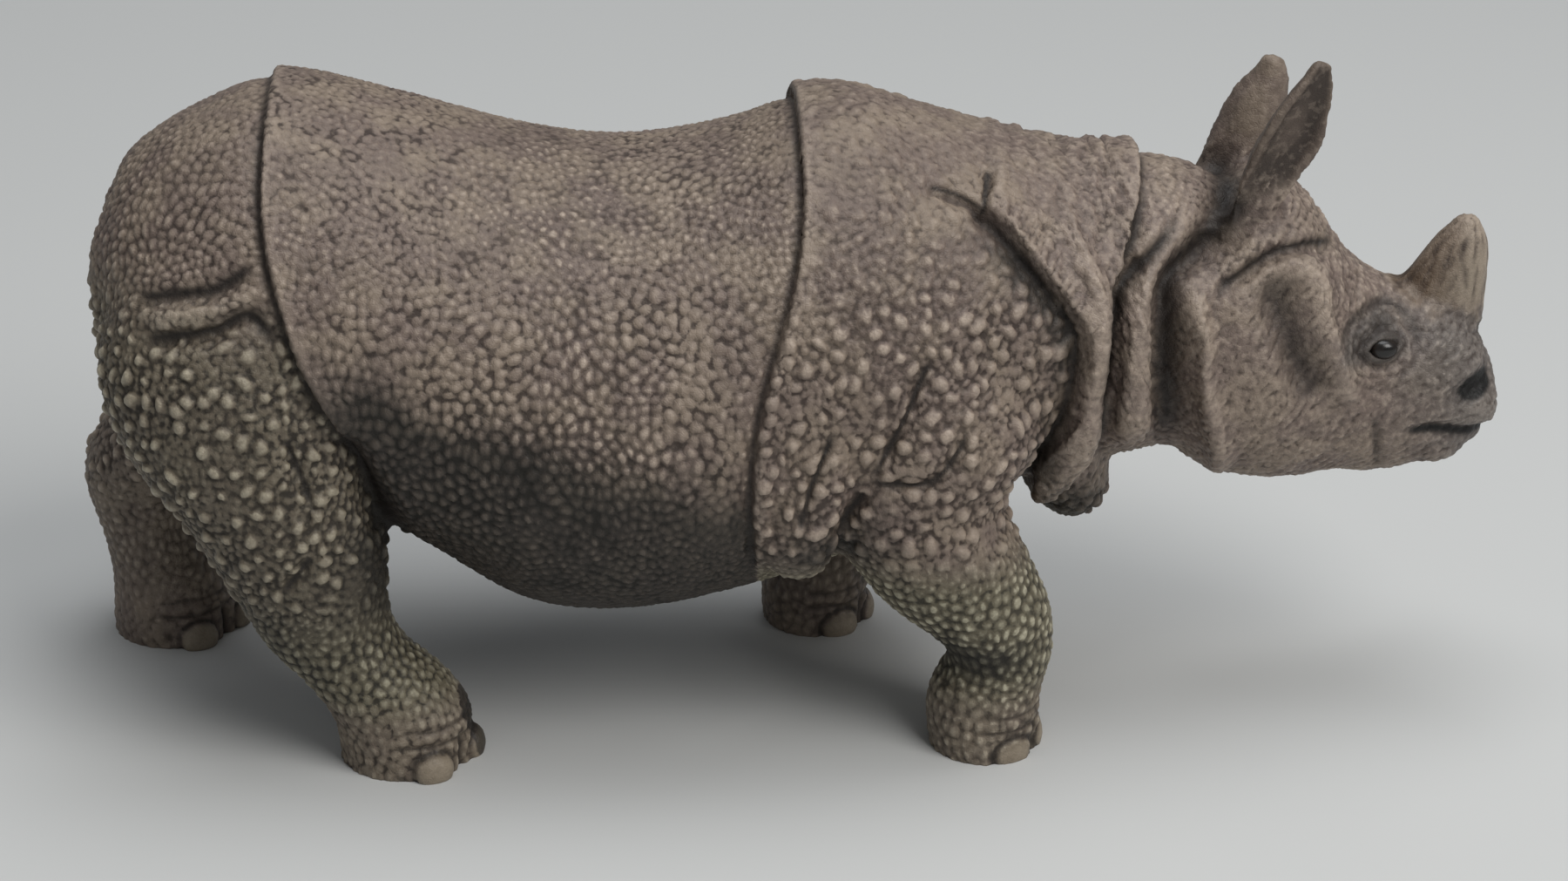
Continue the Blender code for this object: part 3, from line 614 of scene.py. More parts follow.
def fold_height(places, kind, height, width, inner, line):
    """How far each place moves out or in for one fold of the hide."""
    xs, zs = np.array(line).T
    reach = 4 * width
    near = (
        (places[:, 0] > xs.min() - reach) & (places[:, 0] < xs.max() + reach)
        & (places[:, 2] > zs.min() - reach) & (places[:, 2] < zs.max() + reach)
    )
    result = np.zeros(len(places))
    distance, signed, along = from_line(places[near], line)
    if kind == "lap":
        proud = height * np.exp(-np.abs(signed) / width)
        under = -0.9 * height * np.exp(-np.abs(signed) / (0.45 * width))
        rise = under + (proud - under) * smooth_step(signed, -0.35, 0.35)
        ends = smooth_step(along, 0.0, 0.12) * smooth_step(1 - along, 0.0, 0.12)
        rise = rise * ends
    else:
        ends = smooth_step(0.5 - np.abs(along - 0.5), -0.08, 0.25)
        bell = height * np.exp(-((distance / width) ** 2)) * ends
        rise = -bell if kind == "crease" else bell
    if inner > 0:
        rise = rise * smooth_step(np.abs(places[near, 1]), inner - 2.0, inner)
    result[near] = rise
    return result


def spot_height(places, x, z, long, high, slope, depth):
    """How far each place moves out or in for one spot."""
    turn = np.radians(slope)
    across, up = places[:, 0] - x, places[:, 2] - z
    u = (across * np.cos(turn) + up * np.sin(turn)) / long
    v = (up * np.cos(turn) - across * np.sin(turn)) / high
    return depth * np.exp(-(u * u + v * v)) * smooth_step(np.abs(places[:, 1]), 2.0, 4.0)


def part_buttocks(obj):
    """A soft groove down the middle of the rear."""
    places, normals = places_and_normals(obj)
    low, high = PARTING_SPAN
    rear = smooth_step(-places[:, 0], 62.0, 68.0)
    span = smooth_step(places[:, 2], low - 4, low + 4) * smooth_step(-places[:, 2], -high - 3, -high + 5)
    groove = PARTING_DEPTH * np.exp(-((places[:, 1] / PARTING_WIDTH) ** 2)) * rear * span
    move_vertices(obj, places - normals * groove[:, None])


def fold_hide(obj):
    """The armour plates, neck rolls and wrinkles, and the sockets of eye and nostril."""
    places, normals = places_and_normals(obj)
    height = np.zeros(len(places))
    for fold in FOLDS:
        height += fold_height(places, *fold)
    for spot in SPOTS:
        height += spot_height(places, *spot)
    move_vertices(obj, places + normals * height[:, None])


def stand_flat(obj):
    """The figure cut off level at the soles and closed there."""
    work = bmesh.new()
    work.from_mesh(obj.data)
    everything = work.verts[:] + work.edges[:] + work.faces[:]
    cut = bmesh.ops.bisect_plane(
        work, geom=everything, dist=1e-7, plane_co=(0, 0, 0), plane_no=(0, 0, -1), clear_outer=True
    )
    rim = [item for item in cut["geom_cut"] if isinstance(item, bmesh.types.BMEdge)]
    bmesh.ops.holes_fill(work, edges=rim, sides=0)
    bmesh.ops.triangulate(work, faces=work.faces)
    bmesh.ops.recalc_face_normals(work, faces=work.faces)
    work.to_mesh(obj.data)
    work.free()


def lattice_hash(cells, seed):
    """One even random number from 0 to 1 for every whole-numbered cell, always the same for the same cell."""
    mixed = cells[..., 0] * 73856093 ^ cells[..., 1] * 19349663 ^ cells[..., 2] * 83492791
    mixed = mixed ^ (seed * 2654435761)
    mixed = (mixed ^ (mixed >> 13)) * 1274126177
    return ((mixed ^ (mixed >> 16)) & 0xFFFFF) / float(0xFFFFF)


def value_noise(places, size, seed):
    """Smooth noise from 0 to 1: random values on the corners of cells of a given size, blended in between."""
    scaled = places / size
    cells = np.floor(scaled).astype(np.int64)
    t = scaled - cells
    t = t * t * (3 - 2 * t)
    total = np.zeros(len(places))
    for corner in itertools.product((0, 1), repeat=3):
        weight = np.prod(np.where(corner, t, 1 - t), axis=1)
        total += weight * lattice_hash(cells + np.array(corner), seed)
    return total


def soft_noise(places, size, seed):
    """Two octaves of value noise."""
    return (2 * value_noise(places, size, seed) + value_noise(places, size * 0.47, seed + 7)) / 3


def ridges(noise, sharpness):
    """Noise turned into rounded ridges with narrow valleys where it crosses its middle."""
    return np.clip(np.abs(2 * noise - 1) * sharpness, 0.0, 1.0)


def nearest_two(places, seeds, reach, weights):
    """For each place the nearest seed, its distance, and the distance of the second nearest, within reach.

    The distance to a seed is taken less its weight, so that heavy seeds hold more ground. The seeds are
    sorted into cubes as wide as the reach, and every place looks through its own cube and the 26 around it.
    """
    low = places.min(axis=0) - 2 * reach
    span = np.ceil((places.max(axis=0) - low) / reach).astype(np.int64) + 3
    strides = np.array([span[1] * span[2], span[2], 1])
    seed_cubes = np.floor((seeds - low) / reach).astype(np.int64) @ strides
    order = np.argsort(seed_cubes, kind="stable")
    sorted_cubes = seed_cubes[order]
    place_cubes = np.floor((places - low) / reach).astype(np.int64) @ strides
    nearest = np.zeros(len(places), np.int64)
    first_gap = np.full(len(places), reach)
    second_gap = np.full(len(places), reach)
    for shift in itertools.product((-1, 0, 1), repeat=3):
        cube = place_cubes + np.array(shift) @ strides
        turn = np.searchsorted(sorted_cubes, cube, "left")
        end = np.searchsorted(sorted_cubes, cube, "right")
        active = np.nonzero(turn < end)[0]
        while len(active):
            seed = order[turn[active]]
            gap = np.sqrt(((places[active] - seeds[seed]) ** 2).sum(axis=1)) - weights[seed]
            closer = gap < first_gap[active]
            second_gap[active] = np.where(closer, first_gap[active], np.minimum(second_gap[active], gap))
            moved = active[closer]
            first_gap[moved] = gap[closer]
            nearest[moved] = seed[closer]
            turn[active] += 1
            active = active[turn[active] < end[active]]
    return nearest, first_gap, second_gap


def hide_zones(places):
    """How much each place belongs to each part of the hide, from 0 to 1, by the fold lines in side view."""
    x, z = places[:, 0], places[:, 2]
    _, ahead_of_rump, _ = from_line(places, RUMP_LINE)
    _, ahead_of_shoulder, _ = from_line(places, SHOULDER_LINE)
    _, ahead_of_neck_fold, _ = from_line(places, NECK_LINE)
    rump = smooth_step(-ahead_of_rump, -0.4, 0.4)
    front = smooth_step(ahead_of_shoulder, -0.4, 0.4)
    chest = smooth_step(ahead_of_neck_fold, -0.6, 0.8) * smooth_step(z, 24.0, 27.0)
    chest = chest * smooth_step(-z, -61.0, -57.0)
    nape = smooth_step(x + 1.1 * (z - 60.0), 12.0, 34.0) * smooth_step(z, 52.0, 60.0)
    neck = np.maximum(np.maximum(chest, nape), smooth_step(x, 28.0, 30.0) * smooth_step(z, 28.0, 30.0))
    head = smooth_step(x + 0.25 * (z - 40.0), 38.0, 40.5) * smooth_step(z, 20.0, 23.0)
    hind_leg = rump * smooth_step(-z, -24.0, -13.0)
    fore_leg = front * smooth_step(-z, -27.0, -20.0) * smooth_step(-x, -32.0, -28.0)
    legs = np.maximum(hind_leg, fore_leg) * (1 - head)
    thigh = rump * smooth_step(-z, -56.0, -46.0) * (1 - hind_leg)
    shoulder = front * (1 - np.maximum(neck, head)) * (1 - fore_leg)
    return {
        "rump": rump * (1 - thigh) * (1 - hind_leg), "thigh": thigh, "saddle": (1 - rump) * (1 - front),
        "shoulder": shoulder, "neck": neck * (1 - head), "head": head, "legs": legs,
    }


def patch(places, x, z, long, high):
    """A soft patch in side view, 1 in its middle: x, z and its two half sizes."""
    return np.exp(-(((places[:, 0] - x) / long) ** 2) - ((places[:, 2] - z) / high) ** 2)


def painted_shade_and_wash(places, zones):
    """Painted shade: the belly, where a dark wash lies as well, the near hind leg, the far fore leg, the
    hollow behind the neck fold, and PAINTED_SHADE_PATCHES."""
    x, y, z = places.T
    trunk = (1 - zones["legs"]) * (1 - zones["head"])
    edge = 37.0 - 0.32 * x + 5.0 * (soft_noise(places, 6.0, 52) - 0.5)
    low = smooth_step(-z, -30.0, -22.0) * smooth_step(-x, -12.0, -4.0)
    under = zones["saddle"] + (1 - zones["saddle"]) * low
    belly = smooth_step(edge - z, 0.0, 10.0) * under * trunk * (1 - 0.75 * zones["thigh"])
    near = smooth_step(-y, -4.0, 0.0)
    hind = 0.5 * (zones["legs"] + 0.5 * zones["thigh"]) * smooth_step(-x, 28.0, 36.0)
    hind = hind * smooth_step(z, 8.0, 13.0) * near
    patches = sum(dark * patch(places, *shape) for *shape, dark in PAINTED_SHADE_PATCHES.values())
    far_leg = 0.3 * smooth_step(y, 4.0, 9.0) * smooth_step(x, -30.0, -20.0) * zones["legs"]
    _, ahead, _ = from_line(places, NECK_LINE)
    valley = 0.95 * np.exp(-(((ahead + 1.3) / 1.7) ** 2))
    valley = valley * smooth_step(z, 38.0, 46.0) * smooth_step(-z, -59.0, -54.0)
    return np.clip(belly + hind + patches + far_leg + valley, 0.0, 1.0)


def boldness(places, zones):
    """How deeply the pebbles are cut: deepest on the rear of the flank, and fainter along the spine, on the
    upper shoulder, behind the neck fold and under the belly."""
    z = places[:, 2]
    distance, ahead, _ = from_line(places, NECK_LINE)
    bold = 0.95 + 0.8 * (soft_noise(places, 8.0, 51) - 0.5) + 0.4 * patch(places, -33.0, 38.0, 16.0, 9.0)
    bold = bold * (1 - 0.3 * smooth_step(z, 57.0, 66.0))
    bold = bold * (1 - 0.3 * zones["shoulder"] * smooth_step(z, 46.0, 58.0))
    bare = smooth_step(-distance, -7.0, -2.0) * smooth_step(-ahead, 0.0, 0.5) * smooth_step(z, 44.0, 50.0)
    bold = bold * (1 - 0.5 * bare) * (1 - 0.35 * smooth_step(-z, -30.0, -18.0) * zones["saddle"])
    return np.clip(bold, 0.15, 1.35)


def knob_spacing(places, zones):
    """How far apart the pebbles stand at each place."""
    spacing = np.full(len(places), SADDLE_PEBBLE)
    back = smooth_step(places[:, 2], 52.0, 62.0)
    spacing = spacing + (BACK_PEBBLE - spacing) * np.maximum(back, zones["rump"])
    spacing = spacing + (BACK_PEBBLE - spacing) * smooth_step(-places[:, 2], -32.0, -22.0)
    for zone, size in (
        ("thigh", BETWEEN_KNOBS), ("shoulder", BETWEEN_KNOBS), ("legs", LEG_SCALE), ("neck", FACE_GRAIN),
        ("head", FACE_GRAIN),
    ):
        spacing = spacing + (size - spacing) * zones[zone]
    return spacing


def knob_seeds(places, spacing, rounds):
    """One seed in each cell of a lattice as fine as the local spacing, then evened out round after round.

    The spacing is rounded to a few sizes, a lattice cell keeps the place whose random number is the lowest,
    and in each round every seed moves to the middle of the places nearest to it.
    """
    sizes = np.linspace(spacing.min(), spacing.max(), 6)
    size = sizes[np.abs(spacing[:, None] - sizes).argmin(axis=1)]
    cells = np.floor(places @ LATTICE_TURN / (1.12 * size)[:, None]).astype(np.int64)
    keys = np.column_stack([cells, (size * 1000).astype(np.int64)])
    chance = np.random.default_rng(12).random(len(places))
    order = np.lexsort([chance, keys[:, 3], keys[:, 2], keys[:, 1], keys[:, 0]])
    first = np.ones(len(order), bool)
    first[1:] = np.any(keys[order][1:] != keys[order][:-1], axis=1)
    seeds = places[order[first]]
    for _ in range(rounds):
        nearest, _, _ = nearest_two(places, seeds, 1.3 * sizes[-1], np.zeros(len(seeds)))
        count = np.bincount(nearest, minlength=len(seeds))
        kept = count > 0
        middle = [np.bincount(nearest, places[:, axis], len(seeds))[kept] / count[kept] for axis in range(3)]
        seeds = np.stack(middle, axis=1)
    return seeds


def seed_numbers(seeds, salt):
    """A random number from 0 to 1 for each seed, always the same for the same seed."""
    return lattice_hash(np.round(seeds * 100).astype(np.int64), salt)


def lone_knobs(places, zones):
    """Knobs that stand alone: dome, sunk ring, each one's own number, and how far a place is one for knobs.

    They stand on the thighs and the shoulders, fainter high on the shoulders. A dome falls with the square of
    the distance to its seed over its own radius. The radii differ, and the smallest hardly show.
    """
    low = smooth_step(-places[:, 2], -56.0, -47.0)
    knobby = zones["thigh"] + zones["shoulder"] * (0.45 + 0.55 * low)
    dome, ring, own = (np.zeros(len(places)) for _ in range(3))
    here = np.nonzero(knobby > 0.02)[0]
    bend = np.stack([value_noise(places[here], 3.1, seed) for seed in (61, 62, 63)], axis=1) - 0.5
    spread = places[here] + 1.5 * bend
    spacing = np.full(len(here), KNOB_SPACING)
    seeds = knob_seeds(spread, spacing, 1)
    number = seed_numbers(seeds, 8)
    nearest, near, _ = nearest_two(spread, seeds, 1.5 * KNOB_SPACING, np.zeros(len(seeds)))
    number = number[nearest]
    radius = KNOB_SPACING * (0.21 + 0.13 * number + 0.04 * smooth_step(places[here, 0], -20.0, 10.0))
    ratio = near / radius
    size = smooth_step(number, 0.05, 0.2)
    dome[here] = np.clip(1 - ratio**2, 0.0, 1.0) ** 0.7 * size
    ring[here] = np.exp(-(((ratio - 1.3) / 0.4) ** 2)) * size
    own[here] = number
    return dome * knobby, ring * knobby, own, knobby


def pebbled(places, zones):
    """The height of the knobs and pebbles, how much of a top each place is, and each pebble's own number.

    A pebble is a low dome that falls to a groove halfway to its neighbour, so it rises with the difference of
    the two nearest seeds' distances. The seeds are spread in a space that is pressed flatter upwards and bent
    by noise, which draws the pebbles upright and makes them uneven. Fine upright wrinkles run through them,
    darker rows run down the saddle, and on the feet and the far legs the pebbles show less.
    """
    bend = np.stack([soft_noise(places, 7.0, seed) for seed in (41, 42, 43)], axis=1) - 0.5
    jitter = np.stack([value_noise(places, 1.5, seed) for seed in (44, 45, 46)], axis=1) - 0.5
    spread = places * [1.0, 1.0, UPRIGHT_PRESS] + 2.4 * bend + 0.4 * jitter
    spacing = knob_spacing(places, zones)
    seeds = knob_seeds(spread, spacing, 3)
    own = seed_numbers(seeds, 5)
    nearest, near, next_near = nearest_two(spread, seeds, 1.4 * spacing.max(), 0.2 * own)
    own = own[nearest]
    groove = (next_near - near) / spacing
    ratio = (near + 0.2 * own) / ((0.5 + 0.12 * own) * spacing)
    dome = np.clip(1 - ratio**2, 0.0, 1.0)
    pebble = 0.45 * smooth_step(groove, 0.0, 0.6) + 0.55 * dome
    bold = boldness(places, zones)
    knob, ring, knob_own, knobby = lone_knobs(places, zones)
    x, y, z = places.T
    flow = np.stack([x + 0.12 * z + 2.0 * bend[:, 0], y, 0.25 * z + 2.0 * bend[:, 1]], axis=1)
    upright = ridges(soft_noise(flow, 0.95, 23), 3.0)
    rows = smooth_step(-np.abs(soft_noise(flow, 2.6, 24) - 0.5), -0.05, 0.0) * zones["saddle"]
    far = smooth_step(y, 4.0, 9.0) * zones["legs"]
    skin = np.maximum(zones["neck"], zones["head"])
    height = PEBBLE_HEIGHT * (0.7 + 0.6 * own) * bold
    foot = smooth_step(-z, -10.0, -5.0) * zones["legs"]
    height = height + (SCALE_HEIGHT * (0.7 + 0.6 * own) * (1 - 0.35 * foot) - height) * zones["legs"]
    height = height * (1 - 0.25 * knobby)
    height = height + (FACE_GRAIN_HEIGHT * (0.3 + own) - height) * skin
    rise = height * (pebble - 0.5) + 0.1 * (upright - 0.7) * (1 - skin) * (0.4 + 0.6 * bold)
    rise = rise * (1 - knob) + KNOB_HEIGHT * (0.5 + 0.6 * knob_own) * knob - 0.07 * ring
    contrast = np.clip(bold * (1 - 0.25 * knobby) + zones["legs"], 0.0, 1.2)
    contrast = contrast * (1 - np.maximum(0.5 * far, 0.25 * foot))
    mound = 0.08 + 0.92 * (0.25 * smooth_step(groove, 0.0, 0.6) + 0.75 * dome**0.8)
    top = 0.5 + (mound - 0.5) * contrast - 0.2 * (1 - upright) * contrast - 0.35 * rows
    # The sunk ring round each knob is painted darker, as painted shadow round the knob.
    top = top - 0.1 * knobby - 0.28 * ring * (1 - knob)
    top = top + (1.0 - top) * np.minimum(1.1 * knob, 1.0)
    return rise, np.clip(top, 0.0, 1.0), own * (1 - knob) + (0.55 + 0.45 * knob_own) * knob


def gathers(places):
    """Small gathers across the crest in front of the neck fold, from 0 to 1, and where they lie."""
    distance, ahead, along = from_line(places, NECK_LINE)
    length = np.hypot(*np.diff(np.array(NECK_LINE), axis=0).T).sum()
    flow = np.stack([along * length + 0.3 * ahead, 0.25 * ahead, 0.2 * places[:, 1]], axis=1)
    near = smooth_step(-distance, -3.6, -2.0) * smooth_step(ahead, 0.2, 0.9)
    near = near * smooth_step(places[:, 2], 28.0, 34.0)
    return ridges(soft_noise(flow, 0.8, 71), 2.6), near


def wrinkled(places, zones):
    """The wrinkles: big soft folds and fine ones down the neck, slanting over the brow, round the eyes, and
    gathered across the crest of the neck fold. Each is ridged noise in places drawn out along its run."""
    x, y, z = places.T
    drift = 1.6 * soft_noise(places, 6.0, 31)
    wide_drift = 5.0 * soft_noise(places, 12.0, 32)
    fold_flow = np.stack([x + 0.45 * z + wide_drift, y * 0.4, (z - 0.3 * x) * 0.22], axis=1)
    neck_folds = ridges(soft_noise(fold_flow, 2.3, 35), 2.2)
    neck_flow = np.stack([x + 0.35 * z + drift, y * 0.5, (z - 0.2 * x) * 0.3 + drift], axis=1)
    neck = ridges(soft_noise(neck_flow, 0.85, 3), 2.4)
    brow_flow = np.stack([x * 0.85 - 0.5 * z + drift, y * 0.35, (z + x) * 0.2 + drift], axis=1)
    brow = ridges(soft_noise(brow_flow, 0.8, 4), 2.4)
    muzzle_flow = np.stack([0.3 * (x + 0.6 * z) + drift, y * 0.4, z - 0.55 * x + drift], axis=1)
    muzzle = ridges(soft_noise(muzzle_flow, 0.75, 6), 2.4)
    ring = np.hypot(x - EYE_PLACE[0], 1.15 * (z - EYE_PLACE[2]))
    turn = np.arctan2(z - EYE_PLACE[2], x - EYE_PLACE[0])
    eye_flow = np.stack([ring + 0.3 * drift, 1.2 * turn, y * 0.2], axis=1)
    eye_rings = ridges(soft_noise(eye_flow, 0.7, 9), 2.4)
    near_eye = smooth_step(-ring, -6.5, -4.0)
    ahead = smooth_step(x, 62.0, 66.0)
    head = brow * (1 - ahead) + muzzle * ahead
    head = head * (1 - near_eye) + eye_rings * near_eye
    brow_lines = smooth_step(-np.abs(x + 0.45 * (z - 48.0) - 56.0), -5.0, -2.5) * smooth_step(z, 43.0, 46.0)
    gather, crest = gathers(places)
    strength = zones["neck"] + zones["head"] * (0.7 + 0.5 * near_eye + 0.5 * brow_lines)
    mixed = neck * zones["neck"] + head * zones["head"] + (1 - zones["neck"] - zones["head"])
    mixed = mixed * (1 - crest) + gather * crest
    strength = np.maximum(strength, crest)
    rise = WRINKLE_HEIGHT * strength * (mixed - 0.75)
    high = smooth_step(z, 46.0, 54.0)
    rise = rise + NECK_FOLD_HEIGHT * zones["neck"] * (1 - crest) * (neck_folds - 0.6) * high
    return rise, np.clip(mixed - 0.35 * (1 - neck_folds) * zones["neck"], 0.0, 1.0)


def fold_shadow(places, kind, height, width, inner, line):
    """How dark the painted shadow lies along one fold, from 0 to 1: down in a crease, and under the hem of a
    lap.
    """
    distance, signed, along = from_line(places, line)
    if kind == "ridge":
        return np.zeros(len(places))
    if kind == "crease":
        reach = width * min(0.4 + 0.3 * width, 0.9)
        dark = np.exp(-((distance / reach) ** 2)) * min(height / width, 1.0)
    else:
        patchy = (0.45 + 0.75 * soft_noise(places, 5.0, 77)) * min((height / 1.3) ** 2, 1.0)
        wide = max((height / 1.12) ** 2, 1.0)
        dark = np.exp(-(((signed + 0.25 * wide) / (0.42 * wide)) ** 2)) * np.minimum(patchy, 1.0)
    if inner > 0:
        dark = dark * smooth_step(np.abs(places[:, 1]), inner - 2.0, inner)
    return dark * smooth_step(0.5 - np.abs(along - 0.5), -0.02, 0.12)


def ridge_highlight(places, kind, height, width, inner, line):
    """The painted highlight along one ridge's crest, from 0 to 1, and 0 for every other kind of fold."""
    if kind != "ridge":
        return np.zeros(len(places))
    distance, _, along = from_line(places, line)
    bright = np.exp(-((distance / (0.7 * width)) ** 2)) * min(height / 1.4, 1.0)
    return bright * smooth_step(0.5 - np.abs(along - 0.5), -0.02, 0.15)


def eye_lids(places):
    """The almond slit of each eye, the rim of its lids and the crease above, each from 0 to 1.

    The slit's edge is a parabola above and below the middle line, and the rim follows it just outside.
    """
    x, y, z = places.T
    long, high = EYE_SLIT
    u, v = x - EYE_PLACE[0], z - EYE_PLACE[2] - 0.05 * (x - EYE_PLACE[0])
    edge = np.abs(v) - high * (1 - (u / long) ** 2)
    side = smooth_step(np.abs(y), 3.0, 4.0) * smooth_step(-np.abs(u), -4.0, -3.2)
    side = side * smooth_step(-np.abs(v), -4.0, -3.2)
    slit = smooth_step(-edge, -0.15, 0.25) * smooth_step(-np.abs(u), -long - 0.2, -long + 0.3) * side
    rim = np.exp(-(((edge - 0.42) / 0.36) ** 2)) * side
    crease = np.exp(-(((edge - 1.15) / 0.3) ** 2)) * side
    return slit, rim, crease


def opening_share(places):
    """1 in the nostrils and along the mouth, 0 elsewhere."""
    nostril = smooth_step(spot_height(places, *NOSTRIL[:5], 1.0), 0.3, 0.55)
    distance, _, along = from_line(places, MOUTH_LINE)
    mouth = np.exp(-((distance / 0.42) ** 2)) * smooth_step(along, 0.0, 0.1)
    return np.maximum(nostril, mouth)


def ear_hollow(places):
    """1 in the hollow side of each ear, which looks ahead and outwards."""
    hollow = np.zeros(len(places))
    for rows, looks in ((NEAR_EAR, NEAR_EAR_LOOKS), (FAR_EAR, FAR_EAR_LOOKS)):
        table = np.array(rows)
        z = places[:, 2]
        middle = np.stack([np.interp(z, table[:, 2], table[:, axis]) for axis in (0, 1)], axis=1)
        width = np.interp(z, table[:, 2], table[:, 3])
        ahead = np.array(looks[:2]) / np.hypot(*looks[:2])
        beside = np.array([-ahead[1], ahead[0]])
        offset = places[:, :2] - middle
        inside = smooth_step(-np.abs(offset @ beside) / width, -0.44, -0.26)
        facing = smooth_step(offset @ ahead, 0.1, 0.7) * smooth_step(-(offset @ ahead), -4.0, -3.0)
        hollow = np.maximum(hollow, inside * facing * smooth_step(z, 57.0, 61.0))
    return hollow


def ear_share(places, zones):
    """1 on the ears, from just above the nape, and 0 elsewhere."""
    return smooth_step(places[:, 2], 58.0, 61.5) * zones["head"] * smooth_step(places[:, 0], 42.0, 44.5)


def horn_share(places):
    """1 on the horn, 0 elsewhere: the horn's own slices, a little wider, with an uneven edge at the root."""
    x, y, z = places.T
    table = np.array(HORN)
    middle = np.interp(z, table[:, 0], table[:, 1])
    long = np.interp(z, table[:, 0], table[:, 3])
    wide = np.interp(z, table[:, 0], table[:, 4])
    round_it = np.hypot((x - middle) / long, y / wide)
    root = 45.0 - 0.22 * (x - 66.0) + 3.0 * (soft_noise(places, 1.6, 19) - 0.5)
    return smooth_step(-round_it, -1.6, -1.2) * smooth_step(z - root, -1.4, 1.2)


def horn_streaks(places):
    """Flutes that run up the horn: waves around it, bent a little by noise."""
    x, y, z = places.T
    angle = np.arctan2(y, x - np.interp(z, [r[0] for r in HORN], [r[1] for r in HORN]))
    bend = 2.5 * soft_noise(places * [1.0, 1.0, 0.35], 2.6, 14)
    streak = 0.5 + 0.5 * np.sin(13 * angle + 9 * bend)
    strands = soft_noise(np.stack([8 * angle, 0.3 * z, bend], axis=1), 1.0, 15)
    return np.clip(0.22 * streak + 1.0 * strands - 0.1, 0.0, 1.0)


def nail_share(places):
    """1 on the toenails, 0 off them, and the dark line round each: from the nails' own ellipsoids."""
    share = np.zeros(len(places))
    line = np.zeros(len(places))
    low = places[:, 2] < 8.0
    near = places[low]
    for x, y, reach in SOLES.values():
        for degrees in TOE_DIRECTIONS:
            turn = np.radians(degrees)
            ahead = np.array([np.cos(turn), np.sin(turn)])
            beside = np.array([-ahead[1], ahead[0]])
            offset = near[:, :2] - [x, y] - ahead * (reach + 1.9)
            far = np.sqrt(
                (offset @ ahead / (NAIL_SIZE[0] + 0.5)) ** 2 + (offset @ beside / NAIL_SIZE[1]) ** 2
                + ((near[:, 2] - NAIL_HEIGHT) / NAIL_SIZE[2]) ** 2
            )
            outer = smooth_step(offset @ ahead, -0.9, -0.1)
            share[low] = np.maximum(share[low], smooth_step(-far, -1.08, -0.9) * outer)
            line[low] = np.maximum(line[low], np.exp(-(((far - 1.2) / 0.14) ** 2)) * outer)
    return share, line


def toe_clefts(places):
    """The clefts between the toes and the folds above them, from 0 to 1.

    A cleft runs up from the sole halfway between two toes, and two folds run level round the front of a foot.
    """
    depth = np.zeros(len(places))
    low = places[:, 2] < 9.0
    near = places[low]
    for x, y, _ in SOLES.values():
        offset = near[:, :2] - [x, y]
        angle = np.degrees(np.arctan2(offset[:, 1], offset[:, 0]))
        away = np.hypot(offset[:, 0], offset[:, 1])
        foot = smooth_step(-away, -13.0, -11.0) * smooth_step(away, 2.5, 3.5)
        z = near[:, 2] + 0.5 * soft_noise(near, 2.0, 83)
        for between in np.convolve(TOE_DIRECTIONS, (0.5, 0.5), "valid"):
            cleft = np.exp(-((away * np.radians(angle - between) / 0.55) ** 2)) * smooth_step(-z, -5.2, -3.0)
            depth[low] = np.maximum(depth[low], cleft * foot)
        front = smooth_step(-np.abs(angle), -115.0, -85.0)
        for level, strength in ((3.9, 0.55), (5.6, 0.4)):
            fold = strength * np.exp(-(((z - level) / 0.32) ** 2)) * front * foot
            depth[low] = np.maximum(depth[low], fold)
    return depth


def smoothed_places(places, edges, rounds):
    """The places after each has moved halfway to the mean of its neighbours, round after round."""
    first, second = edges.T
    count = len(places)
    degree = np.bincount(first, minlength=count) + np.bincount(second, minlength=count)
    soft = places.copy()
    for _ in range(rounds):
        for axis in range(3):
            value = soft[:, axis]
            total = np.bincount(first, value[second], count) + np.bincount(second, value[first], count)
            soft[:, axis] = 0.5 * (value + total / degree)
    return soft


def relief_of(obj, rounds, depth):
    """How far each place stands above (1) or below (0) the smoothed surface, with 0.5 level with it."""
    places, normals = places_and_normals(obj)
    edges = np.empty(len(obj.data.edges) * 2, np.int64)
    obj.data.edges.foreach_get("vertices", edges)
    soft = smoothed_places(places, edges.reshape(-1, 2), rounds)
    rise = ((places - soft) * normals).sum(axis=1)
    return np.clip(0.5 + rise / (2 * depth), 0.0, 1.0)


def seam_lines():
    """Where the hide is parted into pieces, in side view: rump fold, shoulder fold and behind the jaw.

    Each line follows its fold and goes on down past the belly, clear of the feet.
    """
    rump = RUMP_LINE + [(-35.0, 14.0), (-29.0, 0.0), (-28.0, -9.0)]
    shoulder = SHOULDER_LINE + [(-7.0, 10.0), (-8.0, -9.0)]
    jaw = [(39.6, 80.0), (40.0, 60.0), *JAW_LINE[2:], (38.6, 20.0), (38.6, -9.0)]
    return rump, shoulder, jaw


def seams_behind(places):
    """How many of the seams lie behind each place."""
    count = np.zeros(len(places), int)
    for line in seam_lines():
        xs, zs = np.array(line[::-1]).T
        count += places[:, 0] > np.interp(places[:, 2], zs, xs)
    return count


def keep_looks(mesh, looks):
    """Sets of three numbers for each vertex, kept as attributes of a mesh."""
    for label, values in looks.items():
        layer = mesh.attributes.new(label, "FLOAT_VECTOR", "POINT")
        layer.data.foreach_set("vector", values.astype(np.float32).ravel())


